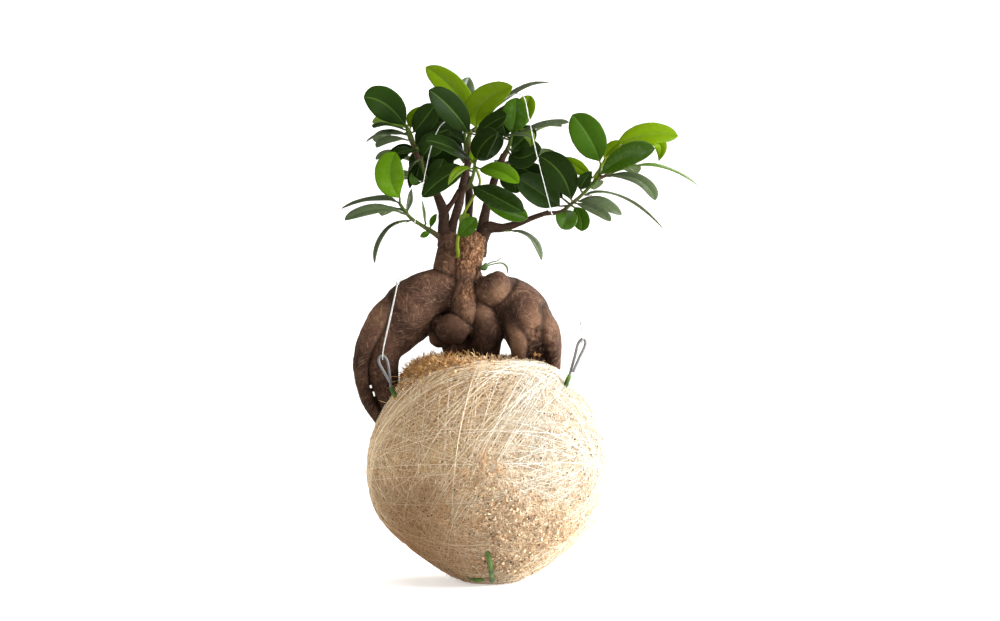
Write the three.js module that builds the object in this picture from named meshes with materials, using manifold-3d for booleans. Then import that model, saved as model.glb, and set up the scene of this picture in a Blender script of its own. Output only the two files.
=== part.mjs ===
// A ginseng ficus growing astride a kokedama ball: a soil core in a coir wrap, bound with thread and hung on wires.
// Millimetres, +Z up. The origin is the middle of the small flat spot that the ball stands on, and -Y is the front.
import * as THREE from "three";
import { mergeVertices } from "three/addons/utils/BufferGeometryUtils.js";
import Module from "manifold-3d";

const wasm = await Module();
wasm.setup();

// Driving dimensions
const BALL_RADIUS = 75; // at the equator
const BALL_HALF_HEIGHT = 72.7; // a little less than the radius
const BALL_CENTRE_Z = 71.3;
const FLAT_SPOT_RADIUS = 14.6;
const WRAP_THICKNESS = 6;
const OPENING_RADIUS = 22; // in the top of the wrap, where the middle roots go into the soil
const SEAT_GAP = 0.35; // between pieces that rest on each other
const THREAD_RADIUS = 0.5;
const COAT_RADIUS = 1.4; // green plastic on the hanging wires
const WIRE_RADIUS = 0.6;
const LINE_RADIUS = 0.3;
const LEAF_THICKNESS = 0.7;
const STALK_WIDTH = 1.5;

const point = (p) => new THREE.Vector3(p[0], p[1], p[2]);

// A repeatable random number source, 0 to 1.
function seeded(seed) {
  let state = seed;
  return () => {
    state = (state + 0x6d2b79f5) | 0;
    let t = Math.imul(state ^ (state >>> 15), 1 | state);
    t = (t + Math.imul(t ^ (t >>> 7), 61 | t)) ^ t;
    return ((t ^ (t >>> 14)) >>> 0) / 4294967296;
  };
}

// Solids
function solid(geometry) {
  const bare = new THREE.BufferGeometry().setAttribute("position", geometry.getAttribute("position"));
  if (geometry.index) bare.setIndex(geometry.index);
  const merged = mergeVertices(bare, 1e-4);
  const vertProperties = new Float32Array(merged.attributes.position.array);
  const triVerts = new Uint32Array(merged.index.array);
  const body = new wasm.Manifold(new wasm.Mesh({ numProp: 3, vertProperties, triVerts }));
  if (body.volume() > 0) return body;
  for (let i = 0; i < triVerts.length; i += 3) {
    const second = triVerts[i + 1];
    triVerts[i + 1] = triVerts[i + 2];
    triVerts[i + 2] = second;
  }
  return new wasm.Manifold(new wasm.Mesh({ numProp: 3, vertProperties, triVerts }));
}

const joined = (bodies) => bodies.reduce((a, b) => a.add(b));

// The main piece of a solid that a cut has left in several.
function largest(body) {
  return body.decompose().reduce((a, b) => (a.volume() > b.volume() ? a : b));
}

function geometryOf(body) {
  const mesh = body.getMesh();
  const positions = new Float32Array(mesh.numVert * 3);
  for (let i = 0; i < mesh.numVert; i++)
    positions.set(mesh.vertProperties.subarray(i * mesh.numProp, i * mesh.numProp + 3), i * 3);
  const geometry = new THREE.BufferGeometry().setAttribute("position", new THREE.BufferAttribute(positions, 3));
  geometry.setIndex(new THREE.BufferAttribute(mesh.triVerts, 1));
  return geometry;
}

// A round limb through points [x, y, z, radius]: a turned profile with rounded ends, bent along the curve.
function limb(points, { sides = 10, rings = 8, grow = 0, flatEnd = false } = {}) {
  const curve = new THREE.CatmullRomCurve3(points.map(point), false, "centripetal");
  const frames = curve.computeFrenetFrames(rings, false);
  const spans = points.length - 1;
  const radiusAt = (t) => {
    const i = Math.min(Math.floor(t * spans), spans - 1);
    return THREE.MathUtils.lerp(points[i][3], points[i + 1][3], t * spans - i) + grow;
  };
  const profile = [new THREE.Vector2(0, -1), new THREE.Vector2(0.7, -0.6)];
  for (let i = 0; i <= rings; i++) profile.push(new THREE.Vector2(1, i));
  if (!flatEnd) profile.push(new THREE.Vector2(0.7, rings + 0.6));
  profile.push(new THREE.Vector2(0, flatEnd ? rings : rings + 1));
  const lathe = new THREE.LatheGeometry(profile, sides);
  const positions = lathe.getAttribute("position");
  for (let k = 0; k < positions.count; k++) {
    const along = positions.getY(k);
    const ring = Math.round(THREE.MathUtils.clamp(along, 0, rings));
    const past = along - THREE.MathUtils.clamp(along, 0, rings);
    const t = ring / rings;
    const radius = radiusAt(t);
    const at = curve.getPoint(t).addScaledVector(curve.getTangent(t), past * radius * 0.8);
    at.addScaledVector(frames.normals[ring], positions.getX(k) * radius);
    at.addScaledVector(frames.binormals[ring], positions.getZ(k) * radius);
    positions.setXYZ(k, at.x, at.y, at.z);
  }
  return solid(lathe);
}

// A tube of one thickness along a smooth curve.
function tube(points, radius, { sides = 6, steps = 20 } = {}) {
  const curve = new THREE.CatmullRomCurve3(points.map(point), false, "centripetal");
  const section = new THREE.Shape();
  for (let i = 0; i < sides; i++) {
    const angle = (i / sides) * Math.PI * 2;
    const corner = [radius * Math.cos(angle), radius * Math.sin(angle)];
    if (i) section.lineTo(...corner);
    else section.moveTo(...corner);
  }
  section.closePath();
  return solid(new THREE.ExtrudeGeometry(section, { steps, extrudePath: curve, bevelEnabled: false }));
}

// Wood
// The swollen roots, the trunk and the woody branches: one grown piece. Each row is x, y, z, radius.
const LIMBS = {
  left_thigh: [
    [-18, 0, 186, 11], [-31, 0, 182.5, 14.8], [-42.5, 1, 175.5, 18.3], [-52, 2, 166, 18.6],
    [-60, 2, 154.5, 14.8], [-65.5, 1, 143, 10.6], [-66, 1, 131, 9.7], [-63.5, 2, 120, 8], [-58, 3, 103, 6.5],
  ],
  left_finger: [
    [-56, -3, 174, 9.5], [-65, -6, 167, 9], [-72, -8, 158, 7], [-77.5, -8, 148, 5.8], [-80, -7, 137, 4.9],
    [-79, -5, 125, 4.1], [-75, -2, 113, 4.4], [-68, 1, 100, 3],
  ],
  neck: [
    [-14, -2, 200, 8], [-14, -6, 188, 8], [-14.5, -9, 178, 8.5], [-14, -9, 169, 9.5], [-17, -7, 160, 9],
  ],
  middle_root: [
    [-11, -5, 180, 6], [-5, -7, 170, 8.8], [-1.5, -6, 160, 11], [-2, -3, 148, 10.2], [-2, 0, 136, 9],
  ],
  middle_knob: [
    [-27, -8, 161, 8.2], [-22, -12, 159, 10.2], [-16, -10, 158, 8.5],
  ],
  low_knob: [
    [-26, -3, 156, 8], [-31.5, -5, 153, 7], [-34, -4, 151.5, 5.5],
  ],
  low_root: [
    [-24, 3, 169, 8], [-22, 2, 160, 10], [-20.5, 2, 150, 9.5], [-18, 3, 137, 8],
  ],
  back_root: [[-16, 6, 186, 12], [-12, 14, 170, 12.5], [-9, 19, 156, 10.5], [-8, 20, 138, 7]],
  right_knob: [
    [-1, -7, 186, 9], [4, -9, 184, 12], [9, -7, 184, 11],
  ],
  right_thigh: [
    [-6, 0, 184, 8], [8, -2, 181, 12.5], [20, -4, 172, 16], [26, -4, 160, 17], [29.5, 2, 149, 15.5],
    [30, 4, 134, 10],
  ],
  right_inner_foot: [
    [17, -8, 171, 11], [19.5, -11, 160, 9.5], [20.5, -13.5, 151, 7], [19.5, -12, 142, 5.3],
    [18, -8, 129, 4.2],
  ],
  right_outer_foot: [
    [29, -7, 167, 11.5], [36, -9, 156, 9.5], [39, -7, 147, 7.5], [40, -5, 139, 6], [40.5, -1, 126, 4.2],
  ],
  trunk: [[-19, 3, 182, 12], [-24, 1, 191, 11], [-25, 0, 201, 9], [-24.5, 0, 210, 7.5], [-26, 0, 218, 6]],
  left_branch: [
    [-26, 0, 212, 6], [-28, 1, 222, 3.6], [-28, 1, 232, 3.2], [-32, 3, 243, 2.7], [-38, 5, 256, 2.3],
    [-44, 6, 268, 1.9],
  ],
  centre_branch: [
    [-25, 2, 212, 5], [-22.5, 3, 224, 3], [-18.5, 4, 237, 2.6], [-16, 5, 250, 2.4], [-13, 5, 262, 2.2], [-10, 4, 272, 2],
  ],
  linking_twig: [[-27, 1, 233, 2.4], [-23, 2, 238, 1.6], [-18, 4, 246, 1.8]],
  right_branch: [
    [-8, 3, 206, 7], [-5, 4, 216, 5.4], [0, 3, 222.5, 4.2], [9, 0, 222.5, 2.8], [20, -3, 225.5, 1.9],
    [29, -5, 229, 1.7], [38, -7, 232, 1.5],
  ],
  right_leader: [[-4, 4, 219, 4.2], [-2, 6, 231, 3.1], [1, 7, 243, 2.6], [5, 7, 256, 2.3], [10, 6, 269, 2]],
  back_branch: [[-15, 6, 212, 5], [-13, 14, 226, 3], [-12, 21, 242, 2.5], [-13, 26, 256, 2]],
};
const SLIM_LIMBS = ["left_branch", "centre_branch", "linking_twig", "right_branch", "right_leader", "back_branch"];
const CUT_STUMP = [[-12, 0, 186, 9], [-12, -2, 196, 7.6], [-11, -2, 207, 8.4], [-10, -1, 216.5, 8.6]];

function ficusWood(grow) {
  const parts = Object.entries(LIMBS).map(([name, points]) =>
    SLIM_LIMBS.includes(name)
      ? limb(points, { sides: 6, rings: points.length - 1, grow })
      : limb(points, { sides: 8, rings: Math.max(3, points.length - 1), grow }),
  );
  parts.push(limb(CUT_STUMP, { sides: 10, rings: 3, grow, flatEnd: true }));
  return joined(parts);
}
const wood = ficusWood(0);
const woodWithGap = ficusWood(SEAT_GAP);

// Leaves
// Half widths of the blade, as shares of its widest, from its base to its pointed tip.
const LARGE_BLADE = [[0, 0.14], [0.2, 0.72], [0.5, 1], [0.84, 0.78], [1, 0.14]];
const BLADE = [[0, 0.14], [0.3, 0.9], [0.7, 0.86], [1, 0.08]];
const SMALL_BLADE = [[0, 0.14], [0.5, 1], [1, 0.08]];
const FOLD = 0.14; // how far the two halves rise from the midrib

// One leaf: the stalk's foot on the stem, then the midrib through base, middle and tip. Face is the upper side.
function leaf(foot, [base, middle, tip, width, face]) {
  const [a, m, b] = [base, middle, tip].map(point);
  const control = m.clone().multiplyScalar(2).addScaledVector(a, -0.5).addScaledVector(b, -0.5);
  const midrib = new THREE.QuadraticBezierCurve3(a, control, b);
  const rows = [];
  const row = (at, along, half, thickness, rise) => {
    const normal = point(face).addScaledVector(along, -point(face).dot(along)).normalize();
    const side = normal.clone().cross(along);
    for (const face of [0.5, -0.5])
      for (const across of [-1, 0, 1])
        rows.push(
          at
            .clone()
            .addScaledVector(side, across * half)
            .addScaledVector(normal, face * thickness + rise * Math.abs(across)),
        );
  };
  row(foot, a.clone().sub(foot).normalize(), STALK_WIDTH / 2, STALK_WIDTH, 0);
  const outline = width < 10 ? SMALL_BLADE : width < 16.4 ? BLADE : LARGE_BLADE;
  for (const [t, share] of outline) {
    const half = Math.max((width / 2) * share, t < 0.5 ? STALK_WIDTH / 2 : 0.35);
    row(midrib.getPoint(t), midrib.getTangent(t), half, t ? LEAF_THICKNESS : 1.2, FOLD * half);
  }
  return solid(strip(rows, outline.length + 1));
}

// The closed skin of a strip with three points across on each face, both faces split alike.
function strip(points, count) {
  const index = [];
  const quad = (a, b, c, d) => index.push(a, b, c, a, c, d);
  for (let r = 0; r < count - 1; r++) {
    const i = r * 6;
    const j = i + 6;
    for (const c of [0, 1]) {
      quad(i + c, i + c + 1, j + c + 1, j + c);
      index.push(i + c + 3, j + c + 4, i + c + 4, i + c + 3, j + c + 3, j + c + 4);
    }
    quad(i + 2, i + 5, j + 5, j + 2);
    quad(i + 3, i, j, j + 3);
  }
  const last = (count - 1) * 6;
  quad(0, 3, 4, 1);
  quad(1, 4, 5, 2);
  quad(last + 1, last + 4, last + 3, last);
  quad(last + 2, last + 5, last + 4, last + 1);
  const geometry = new THREE.BufferGeometry();
  geometry.setAttribute("position", new THREE.Float32BufferAttribute(points.flatMap((p) => p.toArray()), 3));
  return geometry.setIndex(index);
}

// A shoot: its stems and leaves, each stalk let into the nearest place on a stem.
function shoot({ stems, leaves }) {
  const curves = stems.map((stem) => new THREE.CatmullRomCurve3(stem.map(point), false, "centripetal"));
  const places = curves.flatMap((curve) => curve.getPoints(40).slice(12));
  const parts = stems.map((stem) => limb(stem, { sides: 4, rings: stem.length }));
  for (const blade of leaves) {
    const base = point(blade[0]);
    const foot = places.reduce((a, b) => (base.distanceTo(a) < base.distanceTo(b) ? a : b));
    parts.push(leaf(foot, blade));
  }
  return joined(parts);
}

// Which way a blade's upper side looks
const FRONT = [0, -1, 0.12];
const TILTED = [0, -0.75, 0.6];
const LEVEL = [0, -0.32, 0.95];

const SHOOTS = {
  shoot_left_low: {
    stems: [[[-27, 0, 214, 2.2], [-33, -3, 218.5, 1.7], [-41, -6, 223.5, 1.2], [-49, -8, 229, 1.1], [-55, -11, 237, 1]]],
    leaves: [
      [[-57, -11, 238.5], [-72, -8, 240], [-92, -4, 234.5], 13, LEVEL],
      [[-51, -11, 230.5], [-69, -24, 233], [-88, -33, 226], 14, [0, -0.45, 0.9]],
      [[-48, -9, 227], [-64, -13, 219.5], [-70.5, -15, 200], 11, [-0.85, -0.3, 0.5]],
      [[-55, -13, 241], [-61, -21, 254], [-57, -25, 268.5], 18.5, FRONT],
      [[-51, -6, 232], [-49.5, -4, 240], [-48, -3, 247], 8, [0.9, -0.4, 0]],
      [[-50, -5, 231], [-60, 9, 235], [-68, 24, 231], 13, [-0.1, 0.3, 1]],
      [[-39, -5, 225], [-40.5, -6, 232], [-41, -7, 239], 7, [0.95, -0.2, 0]],
      [[-36, -6, 222.5], [-34.5, -8, 227], [-32, -9, 231], 4, FRONT],
      [[-36, -6, 220], [-39.5, -8, 218], [-42.5, -9, 216.5], 4, FRONT],
    ],
  },
  shoot_left_inner: {
    stems: [[[-32, 2, 244, 1.3], [-36, -3, 248, 1.1], [-40, -4, 257, 1], [-42, -4, 265, 0.9]]],
    leaves: [
      [[-35, 0, 248], [-32, 0, 256], [-28, 2, 266], 13, FRONT],
      [[-41, -1, 267], [-36, -2, 274], [-29, -3, 281], 15, FRONT],
      [[-43, -4, 262], [-47, -4, 256], [-49, -5, 247], 7, [-0.5, -0.8, 0.2]],
      [[-42, -5, 251], [-46.5, -6, 251.5], [-48, -7, 257], 5, FRONT],
      [[-43, -5, 265], [-46.5, -7, 262.5], [-50, -9, 256.5], 9, [-0.7, -0.2, 0.75]],
    ],
  },
  shoot_left_top: {
    stems: [[[-44, 5, 266, 1.7], [-47, 1, 274, 1.3], [-50, -1, 281, 1.1], [-51, -1, 287, 1]]],
    leaves: [
      [[-52, -2, 287], [-64, -9, 299.5], [-77.5, -14, 303.5], 20, FRONT],
      [[-52, -4, 284], [-63, -12, 286.3], [-71, -19, 284], 12, [0, -0.25, 1]],
      [[-51, -1, 281], [-65, 1, 281.8], [-77, 4, 277], 14, LEVEL],
      [[-50, -4, 277.5], [-60, -14, 277], [-69, -22, 271.5], 12, [0, -0.4, 0.9]],
      [[-47, 2, 273], [-55, 2, 270], [-64.5, 2, 263.5], 12, TILTED],
      [[-45, -2, 271], [-50, -12, 270.5], [-58, -22, 267.5], 12, [0, -0.5, 0.85]],
      [[-47, 2, 283], [-40, 1, 291], [-33, 0, 300.5], 15, [0.1, -1, 0.1]],
      [[-45, 1, 274], [-37, 3, 280], [-24, 5, 285], 17, [0.1, -1, 0.2]],
      [[-53, 1, 282], [-63.5, 12, 283], [-71, 26, 278], 14, [-0.2, 0.3, 1]],
    ],
  },
  young_left_top: {
    stems: [[[-44, 8, 265, 1.5], [-47, 8, 276, 1.2], [-50, 6, 285, 1]]],
    leaves: [
      [[-52, 5, 286], [-62, 3, 290.5], [-73, 2, 289], 10, TILTED],
      [[-49, 6, 286], [-47, 6, 292.5], [-41, 6, 299.5], 9, FRONT],
    ],
  },
  shoot_crown_top: {
    stems: [[[-11, 3, 270, 1.9], [-12, 0, 277, 1.4], [-11, -1, 284, 1.1]]],
    leaves: [
      [[-12, -5, 282], [-23, -17, 296], [-36.5, -25, 307], 17.5, [-0.2, -0.9, 0.35]],
      [[-8, -4, 281], [3, -11, 288], [12, -17, 292], 12, [0.1, -0.85, 0.4]],
    ],
  },
  shoot_crown_back: {
    stems: [[[-13, 6, 263, 1.8], [-14, 12, 272, 1.3], [-12, 14, 284, 1]]],
    leaves: [
      [[-12, 15, 287], [-15, 15, 303], [-12, 16, 319], 14, [0.25, -0.9, 0.2]],
      [[-8, 14, 287], [17, 12, 309], [39, 13, 315], 9, [-0.5, -0.45, 0.75]],
      [[-8, 13, 284], [11, 10, 297], [27, 9, 304], 10, [-0.5, -0.6, 0.6]],
      [[-15, 14, 277], [-28, 16, 287], [-40, 16, 297], 17, [0, -0.95, 0.3]],
      [[-16, 13, 268], [-26, 14, 273], [-38, 15, 272], 18, FRONT],
      [[-11, 12, 269], [-2, 13, 274], [9, 13, 283], 17, FRONT],
    ],
  },
  young_crown: {
    stems: [[[-9, 6, 270, 1.6], [-7, 6, 278, 1.2], [-7, 5, 286, 1]]],
    leaves: [
      [[-9, 6.5, 289], [-21, 7, 309], [-39.5, 11, 325], 16.5, FRONT],
      [[-7, 2, 286], [-4, -6, 300], [15.5, -15, 310], 18, [0.1, -0.95, 0.2]],
    ],
  },
  shoot_centre_right: {
    stems: [[[9, 6, 266, 1.9], [13, 4, 274, 1.3], [15, 2, 281, 1]]],
    leaves: [
      [[14, -1, 269], [21, -6, 266], [31, -8, 271], 15, [0.1, -0.95, 0.3]],
      [[15, 5, 272], [22, 9, 279], [29, 11, 287], 14, [0.1, -0.95, 0.3]],
      [[9, 1, 279], [18, -3, 281], [29, -6, 278], 9, LEVEL],
      [[18, 3, 282], [36, 1, 287.5], [51, 0, 289], 10, [0.1, -0.4, 0.9]],
      [[15, -1, 282], [17, -4, 293], [17.5, -6, 304], 17, FRONT],
      [[12, 3, 280], [9.5, 3, 288], [9, 2, 295], 13, FRONT],
      [[17, 4, 284], [22.5, 3, 296], [27, 2, 306], 13, FRONT],
      [[20, 4, 285], [26, 4, 281], [27, 4, 274], 7, FRONT],
    ],
  },
  shoot_centre_front: {
    stems: [[[-15, 3, 247, 1.6], [-12, -4, 249, 1.3], [-9, -8, 256, 1.1], [-8, -11, 263, 1]]],
    leaves: [
      [[-11, -13, 265], [-25, -25, 272], [-38, -33, 275], 16, [-0.3, -0.75, 0.6]],
      [[-7, -14, 265], [-3, -23, 273], [6, -31, 280], 18, [0, -0.9, 0.45]],
      [[-5, -13, 259], [6, -25, 257], [19, -33, 249], 14, TILTED],
      [[-10, -12, 259], [-18, -22, 257.5], [-24.5, -28, 248], 6, TILTED],
      [[-9, -9, 248], [5, -22, 240.5], [22, -31, 231], 18, [0.1, -0.8, 0.6]],
      [[-3, -9, 241], [12, -14, 233], [25, -17, 228], 13, [0, -0.9, 0.4]],
      [[-14, -7, 259], [-27, -8, 254], [-41, -8, 241.5], 14, FRONT],
    ],
  },
  shoot_right: {
    stems: [
      [[35, -6, 231, 1.4], [46, -8, 232.5, 1.2], [52, -8, 237, 1.1], [58, -7, 242, 1.1], [64, -6, 248, 1],
        [69, -6, 253, 1], [71, -6, 262, 0.9]],
      [[68, -6, 252, 1], [80, -4, 258, 0.9], [90, -3, 261, 0.8]],
    ],
    leaves: [
      [[45, -5, 236], [33, -3, 244.5], [18, -4, 254], 20, [0, -0.9, 0.4]],
      [[47, -2, 241], [34, 4, 253], [18, 8, 262], 15, FRONT],
      [[52, -10, 240], [45.5, -11, 256], [32, -10, 267], 19, FRONT],
      [[58, -10, 246], [60, -12, 251], [65, -12, 257.5], 9, FRONT],
      [[70, -9, 264], [63, -17, 278], [52.5, -22, 292], 21, FRONT],
      [[71, -9, 256], [86, -19, 266], [103.5, -26, 270.5], 16, [-0.1, -0.9, 0.4]],
      [[92, -3, 261.5], [112, 0, 260], [132, 4, 250], 12, [0.15, -0.2, 1]],
      [[73, -10, 254.5], [93, -22, 251.5], [103.5, -29, 238.5], 13, [0.2, -0.55, 0.8]],
      [[61, -4, 243], [84, 7, 242.5], [111, 14, 223], 13, [0.1, -0.12, 1]],
      [[55, -11, 237.5], [66, -22, 233], [76, -29, 225.5], 10, [0.2, -0.65, 0.75]],
      [[57, -6, 239], [70, -7, 237.5], [84, -6, 230.5], 13, [0.1, -0.6, 0.8]],
      [[80, -1, 259], [88, 13, 262], [95, 28, 258], 14, [0.1, 0.3, 1]],
      [[62, -3, 247], [66, 12, 252], [68, 28, 248], 14, [0.1, 0.35, 1]],
      [[49, -11, 233], [49, -15, 228], [45.5, -16.5, 221.5], 14, FRONT],
      [[54, -10, 235], [58, -12, 228], [58.5, -13, 220], 11, FRONT],
    ],
  },
  young_right: {
    stems: [[[66.2, -3.6, 250.4, 1], [72, -1, 262, 1], [78, -1, 271, 0.9], [88, -1, 275, 0.8]]],
    leaves: [
      [[81, -2, 275], [100, 0, 281.5], [120, 4, 280.5], 14.5, [0, -0.95, 0.3]],
      [[73, -3, 267], [78, -4, 272.5], [84, -5, 277], 8, FRONT],
      [[92, -1, 276], [107, -1, 276], [107.5, -2, 264.5], 9.5, TILTED],
      [[66, 1, 254], [56, 1, 261], [46.5, 1, 267], 9, FRONT],
    ],
  },
  drooping_leaf: {
    stems: [[[9, -1, 221, 0.9], [14, -3, 220.8, 0.8]]],
    leaves: [[[15, -3, 220.7], [27, -6, 215.5], [33.5, -8, 202], 12, [0.75, -0.35, 0.6]]],
  },
  water_sprout: {
    stems: [[
      [-18.5, -7, 204, 1.4], [-19, -12, 212, 1], [-18, -12, 220, 0.9], [-15, -9, 231, 0.9], [-9, -6, 242, 0.8],
      [-5, -4, 251, 0.8], [-7.5, -3, 260, 0.8],
    ]],
    leaves: [
      [[-18, -14, 217], [-13, -17, 222], [-7, -18, 228], 10, FRONT],
      [[-17.5, -12, 225], [-15, -13, 228], [-11.5, -13, 230.5], 6, FRONT],
      [[-8, -4, 262], [-9, -6, 267], [-8, -7, 274], 6, FRONT],
    ],
  },
};

// The back of the crown: stems with leaves fanned to either side, and inner leaves that are seen through the crown.
const BACK_STEMS = {
  shoot_back_left: {
    stem: [[-33, 4, 247, 1.6], [-37, 16, 252, 1.3], [-42, 27, 260, 1.1], [-45, 34, 270, 1]],
    leaves: 4,
    fan: [-75, 0],
    seed: 3,
    inner: [
      [[-37, 17, 252], [-42, 17, 262], [-45, 16, 273], 16, FRONT],
      [[-37, 19, 253], [-31, 20, 262], [-27, 21, 273], 17, FRONT],
    ],
  },
  shoot_back_middle: {
    stem: [[-13, 26, 253, 1.7], [-14, 30, 264, 1.3], [-15, 31, 278, 1], [-15, 30, 290, 0.9]],
    leaves: 5,
    fan: [-28, 28],
    seed: 5,
  },
  shoot_back_right: {
    stem: [[6, 8, 260, 1.6], [11, 17, 262, 1.3], [16, 25, 268, 1.1], [19, 31, 276, 1]],
    leaves: 4,
    fan: [5, 70],
    seed: 23,
    inner: [
      [[12, 17, 262], [16, 16, 255], [18, 15, 245], 18, FRONT],
      [[15, 22, 267], [23, 20, 271], [34, 18, 274], 17, FRONT],
    ],
  },
};
for (const [name, { stem, leaves, fan, seed, inner = [] }] of Object.entries(BACK_STEMS)) {
  const random = seeded(seed);
  const curve = new THREE.CatmullRomCurve3(stem.map(point), false, "centripetal");
  const blades = [];
  for (let i = 0; i < leaves; i++) {
    const t = 0.35 + (0.65 * i) / (leaves - 1);
    const turn = THREE.MathUtils.degToRad(fan[i % 2] + 14 * (random() - 0.5));
    const rise = 0.1 + 0.5 * t * random();
    const way = new THREE.Vector3(Math.sin(turn), Math.cos(turn), rise).normalize();
    const length = 26 + 8 * random();
    const face = new THREE.Vector3(0.2 * random(), 0.55 * (1 - rise), 1);
    const base = curve.getPoint(t).addScaledVector(way, 4);
    const middle = base.clone().addScaledVector(way, length * 0.5).add(new THREE.Vector3(0, 0, 2));
    const tip = base.clone().addScaledVector(way, length).add(new THREE.Vector3(0, 0, -5));
    blades.push([base.toArray(), middle.toArray(), tip.toArray(), length * 0.47, face.toArray()]);
  }
  SHOOTS[name] = { stems: [stem], leaves: [...blades, ...inner] };
}

// Ball
const BALL_SEGMENTS = 20;
const RIM_HEIGHT = 144.5; // the coir stands up a little round the opening
const SOIL_TOP = 138.5;
const SWELL = 0.35;
const RIM_RAGGEDNESS = 1.2;

// A point of the ball's surface, lifted by so much: on its front, by x and z, or on its underside, by x and y.
function ballFront(x, z, lift) {
  const share = 1 - ((z - BALL_CENTRE_Z) / (BALL_HALF_HEIGHT + lift)) ** 2;
  return [x, -Math.sqrt((BALL_RADIUS + lift) ** 2 * share - x * x), z];
}
function ballUnder(x, y, lift) {
  const share = 1 - (x * x + y * y) / (BALL_RADIUS + lift) ** 2;
  return [x, y, BALL_CENTRE_Z - (BALL_HALF_HEIGHT + lift) * Math.sqrt(share)];
}

// Points of the ball's section between two angles of height, inset from its surface.
function ballArc(inset, from, to, count) {
  const arc = [];
  for (let i = 0; i <= count; i++) {
    const angle = THREE.MathUtils.degToRad(THREE.MathUtils.lerp(from, to, i / count));
    const radius = (BALL_RADIUS - inset) * Math.cos(angle);
    arc.push([Math.abs(angle) === Math.PI / 2 ? 0 : radius, BALL_CENTRE_Z + (BALL_HALF_HEIGHT - inset) * Math.sin(angle)]);
  }
  return arc;
}

// A profile of radius and height turned about +Z, with each point then moved by its row in the profile.
function turned(profile, move = () => {}) {
  const lathe = new THREE.LatheGeometry(profile.map(([r, z]) => new THREE.Vector2(r, z)), BALL_SEGMENTS);
  lathe.rotateX(Math.PI / 2);
  const positions = lathe.getAttribute("position");
  for (let k = 0; k < positions.count; k++) {
    const at = new THREE.Vector3().fromBufferAttribute(positions, k);
    move(at, k % profile.length);
    positions.setXYZ(k, at.x, at.y, at.z);
  }
  return solid(lathe);
}

const outerArc = ballArc(0, -72, 69, 9);
const rim = [[OPENING_RADIUS + 4, 142.2], [OPENING_RADIUS, RIM_HEIGHT], [OPENING_RADIUS - 1.5, 140]];
const innerArc = ballArc(WRAP_THICKNESS, 70, -90, 5);
const wrapProfile = [[0, 0], [FLAT_SPOT_RADIUS, 0], ...outerArc, ...rim, ...innerArc];
const rimRow = 2 + outerArc.length + 1;

// Low swells in the coir, and a ragged rim.
function unevenCoir(at, row) {
  const turn = Math.atan2(at.y, at.x);
  const swell = SWELL * (Math.sin(5 * turn + at.z / 14) + Math.sin(3 * turn - at.z / 9) - 2);
  if (row > 1 && row < rimRow - 1) {
    at.x += (swell * at.x) / BALL_RADIUS;
    at.y += (swell * at.y) / BALL_RADIUS;
  }
  if (row === rimRow) at.z += RIM_RAGGEDNESS * Math.sin(7 * turn) * Math.sin(4 * turn + 1);
}

// Hangers
// Green coated wires run through the ball and end as a staple under it. At the top their bare ends bend to an eye.
const WIRES = {
  left: [
    [-60.8, -22.6, 126], [-64.5, -22.2, 132.5], [-67.6, -21.6, 138.5], [-67.3, -21.2, 141.3], [-65.3, -21, 142.3],
    [-63, -20.8, 140.3], [-61.6, -20.7, 135], [-60.7, -20.6, 128], [-60, -20.6, 122], [-57.8, -20.8, 118],
  ],
  right: [
    [52.8, -28.8, 132.5], [56.6, -28.2, 141], [60.2, -27.6, 148.8], [60.3, -27.2, 151.5], [58.6, -27, 152.7],
    [56.3, -27, 150.5], [53.9, -27, 142], [51.8, -27, 134.5], [50.6, -27, 130], [49, -26.8, 126],
  ],
};
const COATS = {
  left: [
    [-60.2, -20.6, 122.6], [-56, -21, 114.5], [-44, -20, 92], [-20, -15, 48], [-1, -18, 16], ballUnder(1, -27.5, 0),
    ballUnder(1.2, -32, 1.6), ballUnder(1, -38, 1.75), ballUnder(0.5, -45, 1.75), ballFront(-1, 17.5, 1.7),
    ballFront(-3, 21, 0.4), ballFront(-4.5, 22, -3),
  ],
  right: [
    [50.8, -27, 130.6], [47, -26.3, 121], [38, -22, 98], [14, -6, 50], [-14, -14, 16], ballUnder(-24, -20, 0),
    ballUnder(-23, -24.5, 1.6), ballUnder(-18, -28, 1.75), ballUnder(-11, -31, 1.7), ballUnder(-6, -31.5, 0.3),
    ballUnder(-3, -30, -3),
  ],
};
const wireMesh = { sides: 5, steps: 24 };
const coatMesh = { sides: 6, steps: 20 };
const SOCKET_CLEARANCE = 0.3;
const hangers = ["left", "right"].map((side) => {
  const socket = tube(WIRES[side], WIRE_RADIUS + SOCKET_CLEARANCE, wireMesh);
  return {
    side,
    wire: tube(WIRES[side], WIRE_RADIUS, wireMesh),
    coat: tube(COATS[side], COAT_RADIUS, coatMesh).subtract(socket),
    hole: tube(COATS[side], COAT_RADIUS + SEAT_GAP, coatMesh),
  };
});

// The wrap and the soil are open where the roots and the hanging wires pass.
const passages = joined([woodWithGap, ...hangers.map((hanger) => hanger.hole)]);
const wrap = largest(turned(wrapProfile, unevenCoir).subtract(passages));
const soilArc = ballArc(WRAP_THICKNESS + SEAT_GAP + 0.05, -90, 70, 5);
const soil = largest(turned([...soilArc, [18, SOIL_TOP - 1.5], [0, SOIL_TOP]]).subtract(passages));

// Winding
// Each hoop of thread passes two places on the front of the ball, given by x and z.
const HOOPS = [[-30, 60, 20, 112], [-30, 116, -18, 25], [-66, 82, -10, 75], [-5, 122, 30, 30]];
const HOOP_STEPS = 20;
const CHORD_SAG = 0.9; // how far a hoop's straight pieces dip below its curve
const THREAD_LIFT = SEAT_GAP + THREAD_RADIUS + CHORD_SAG;

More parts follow.
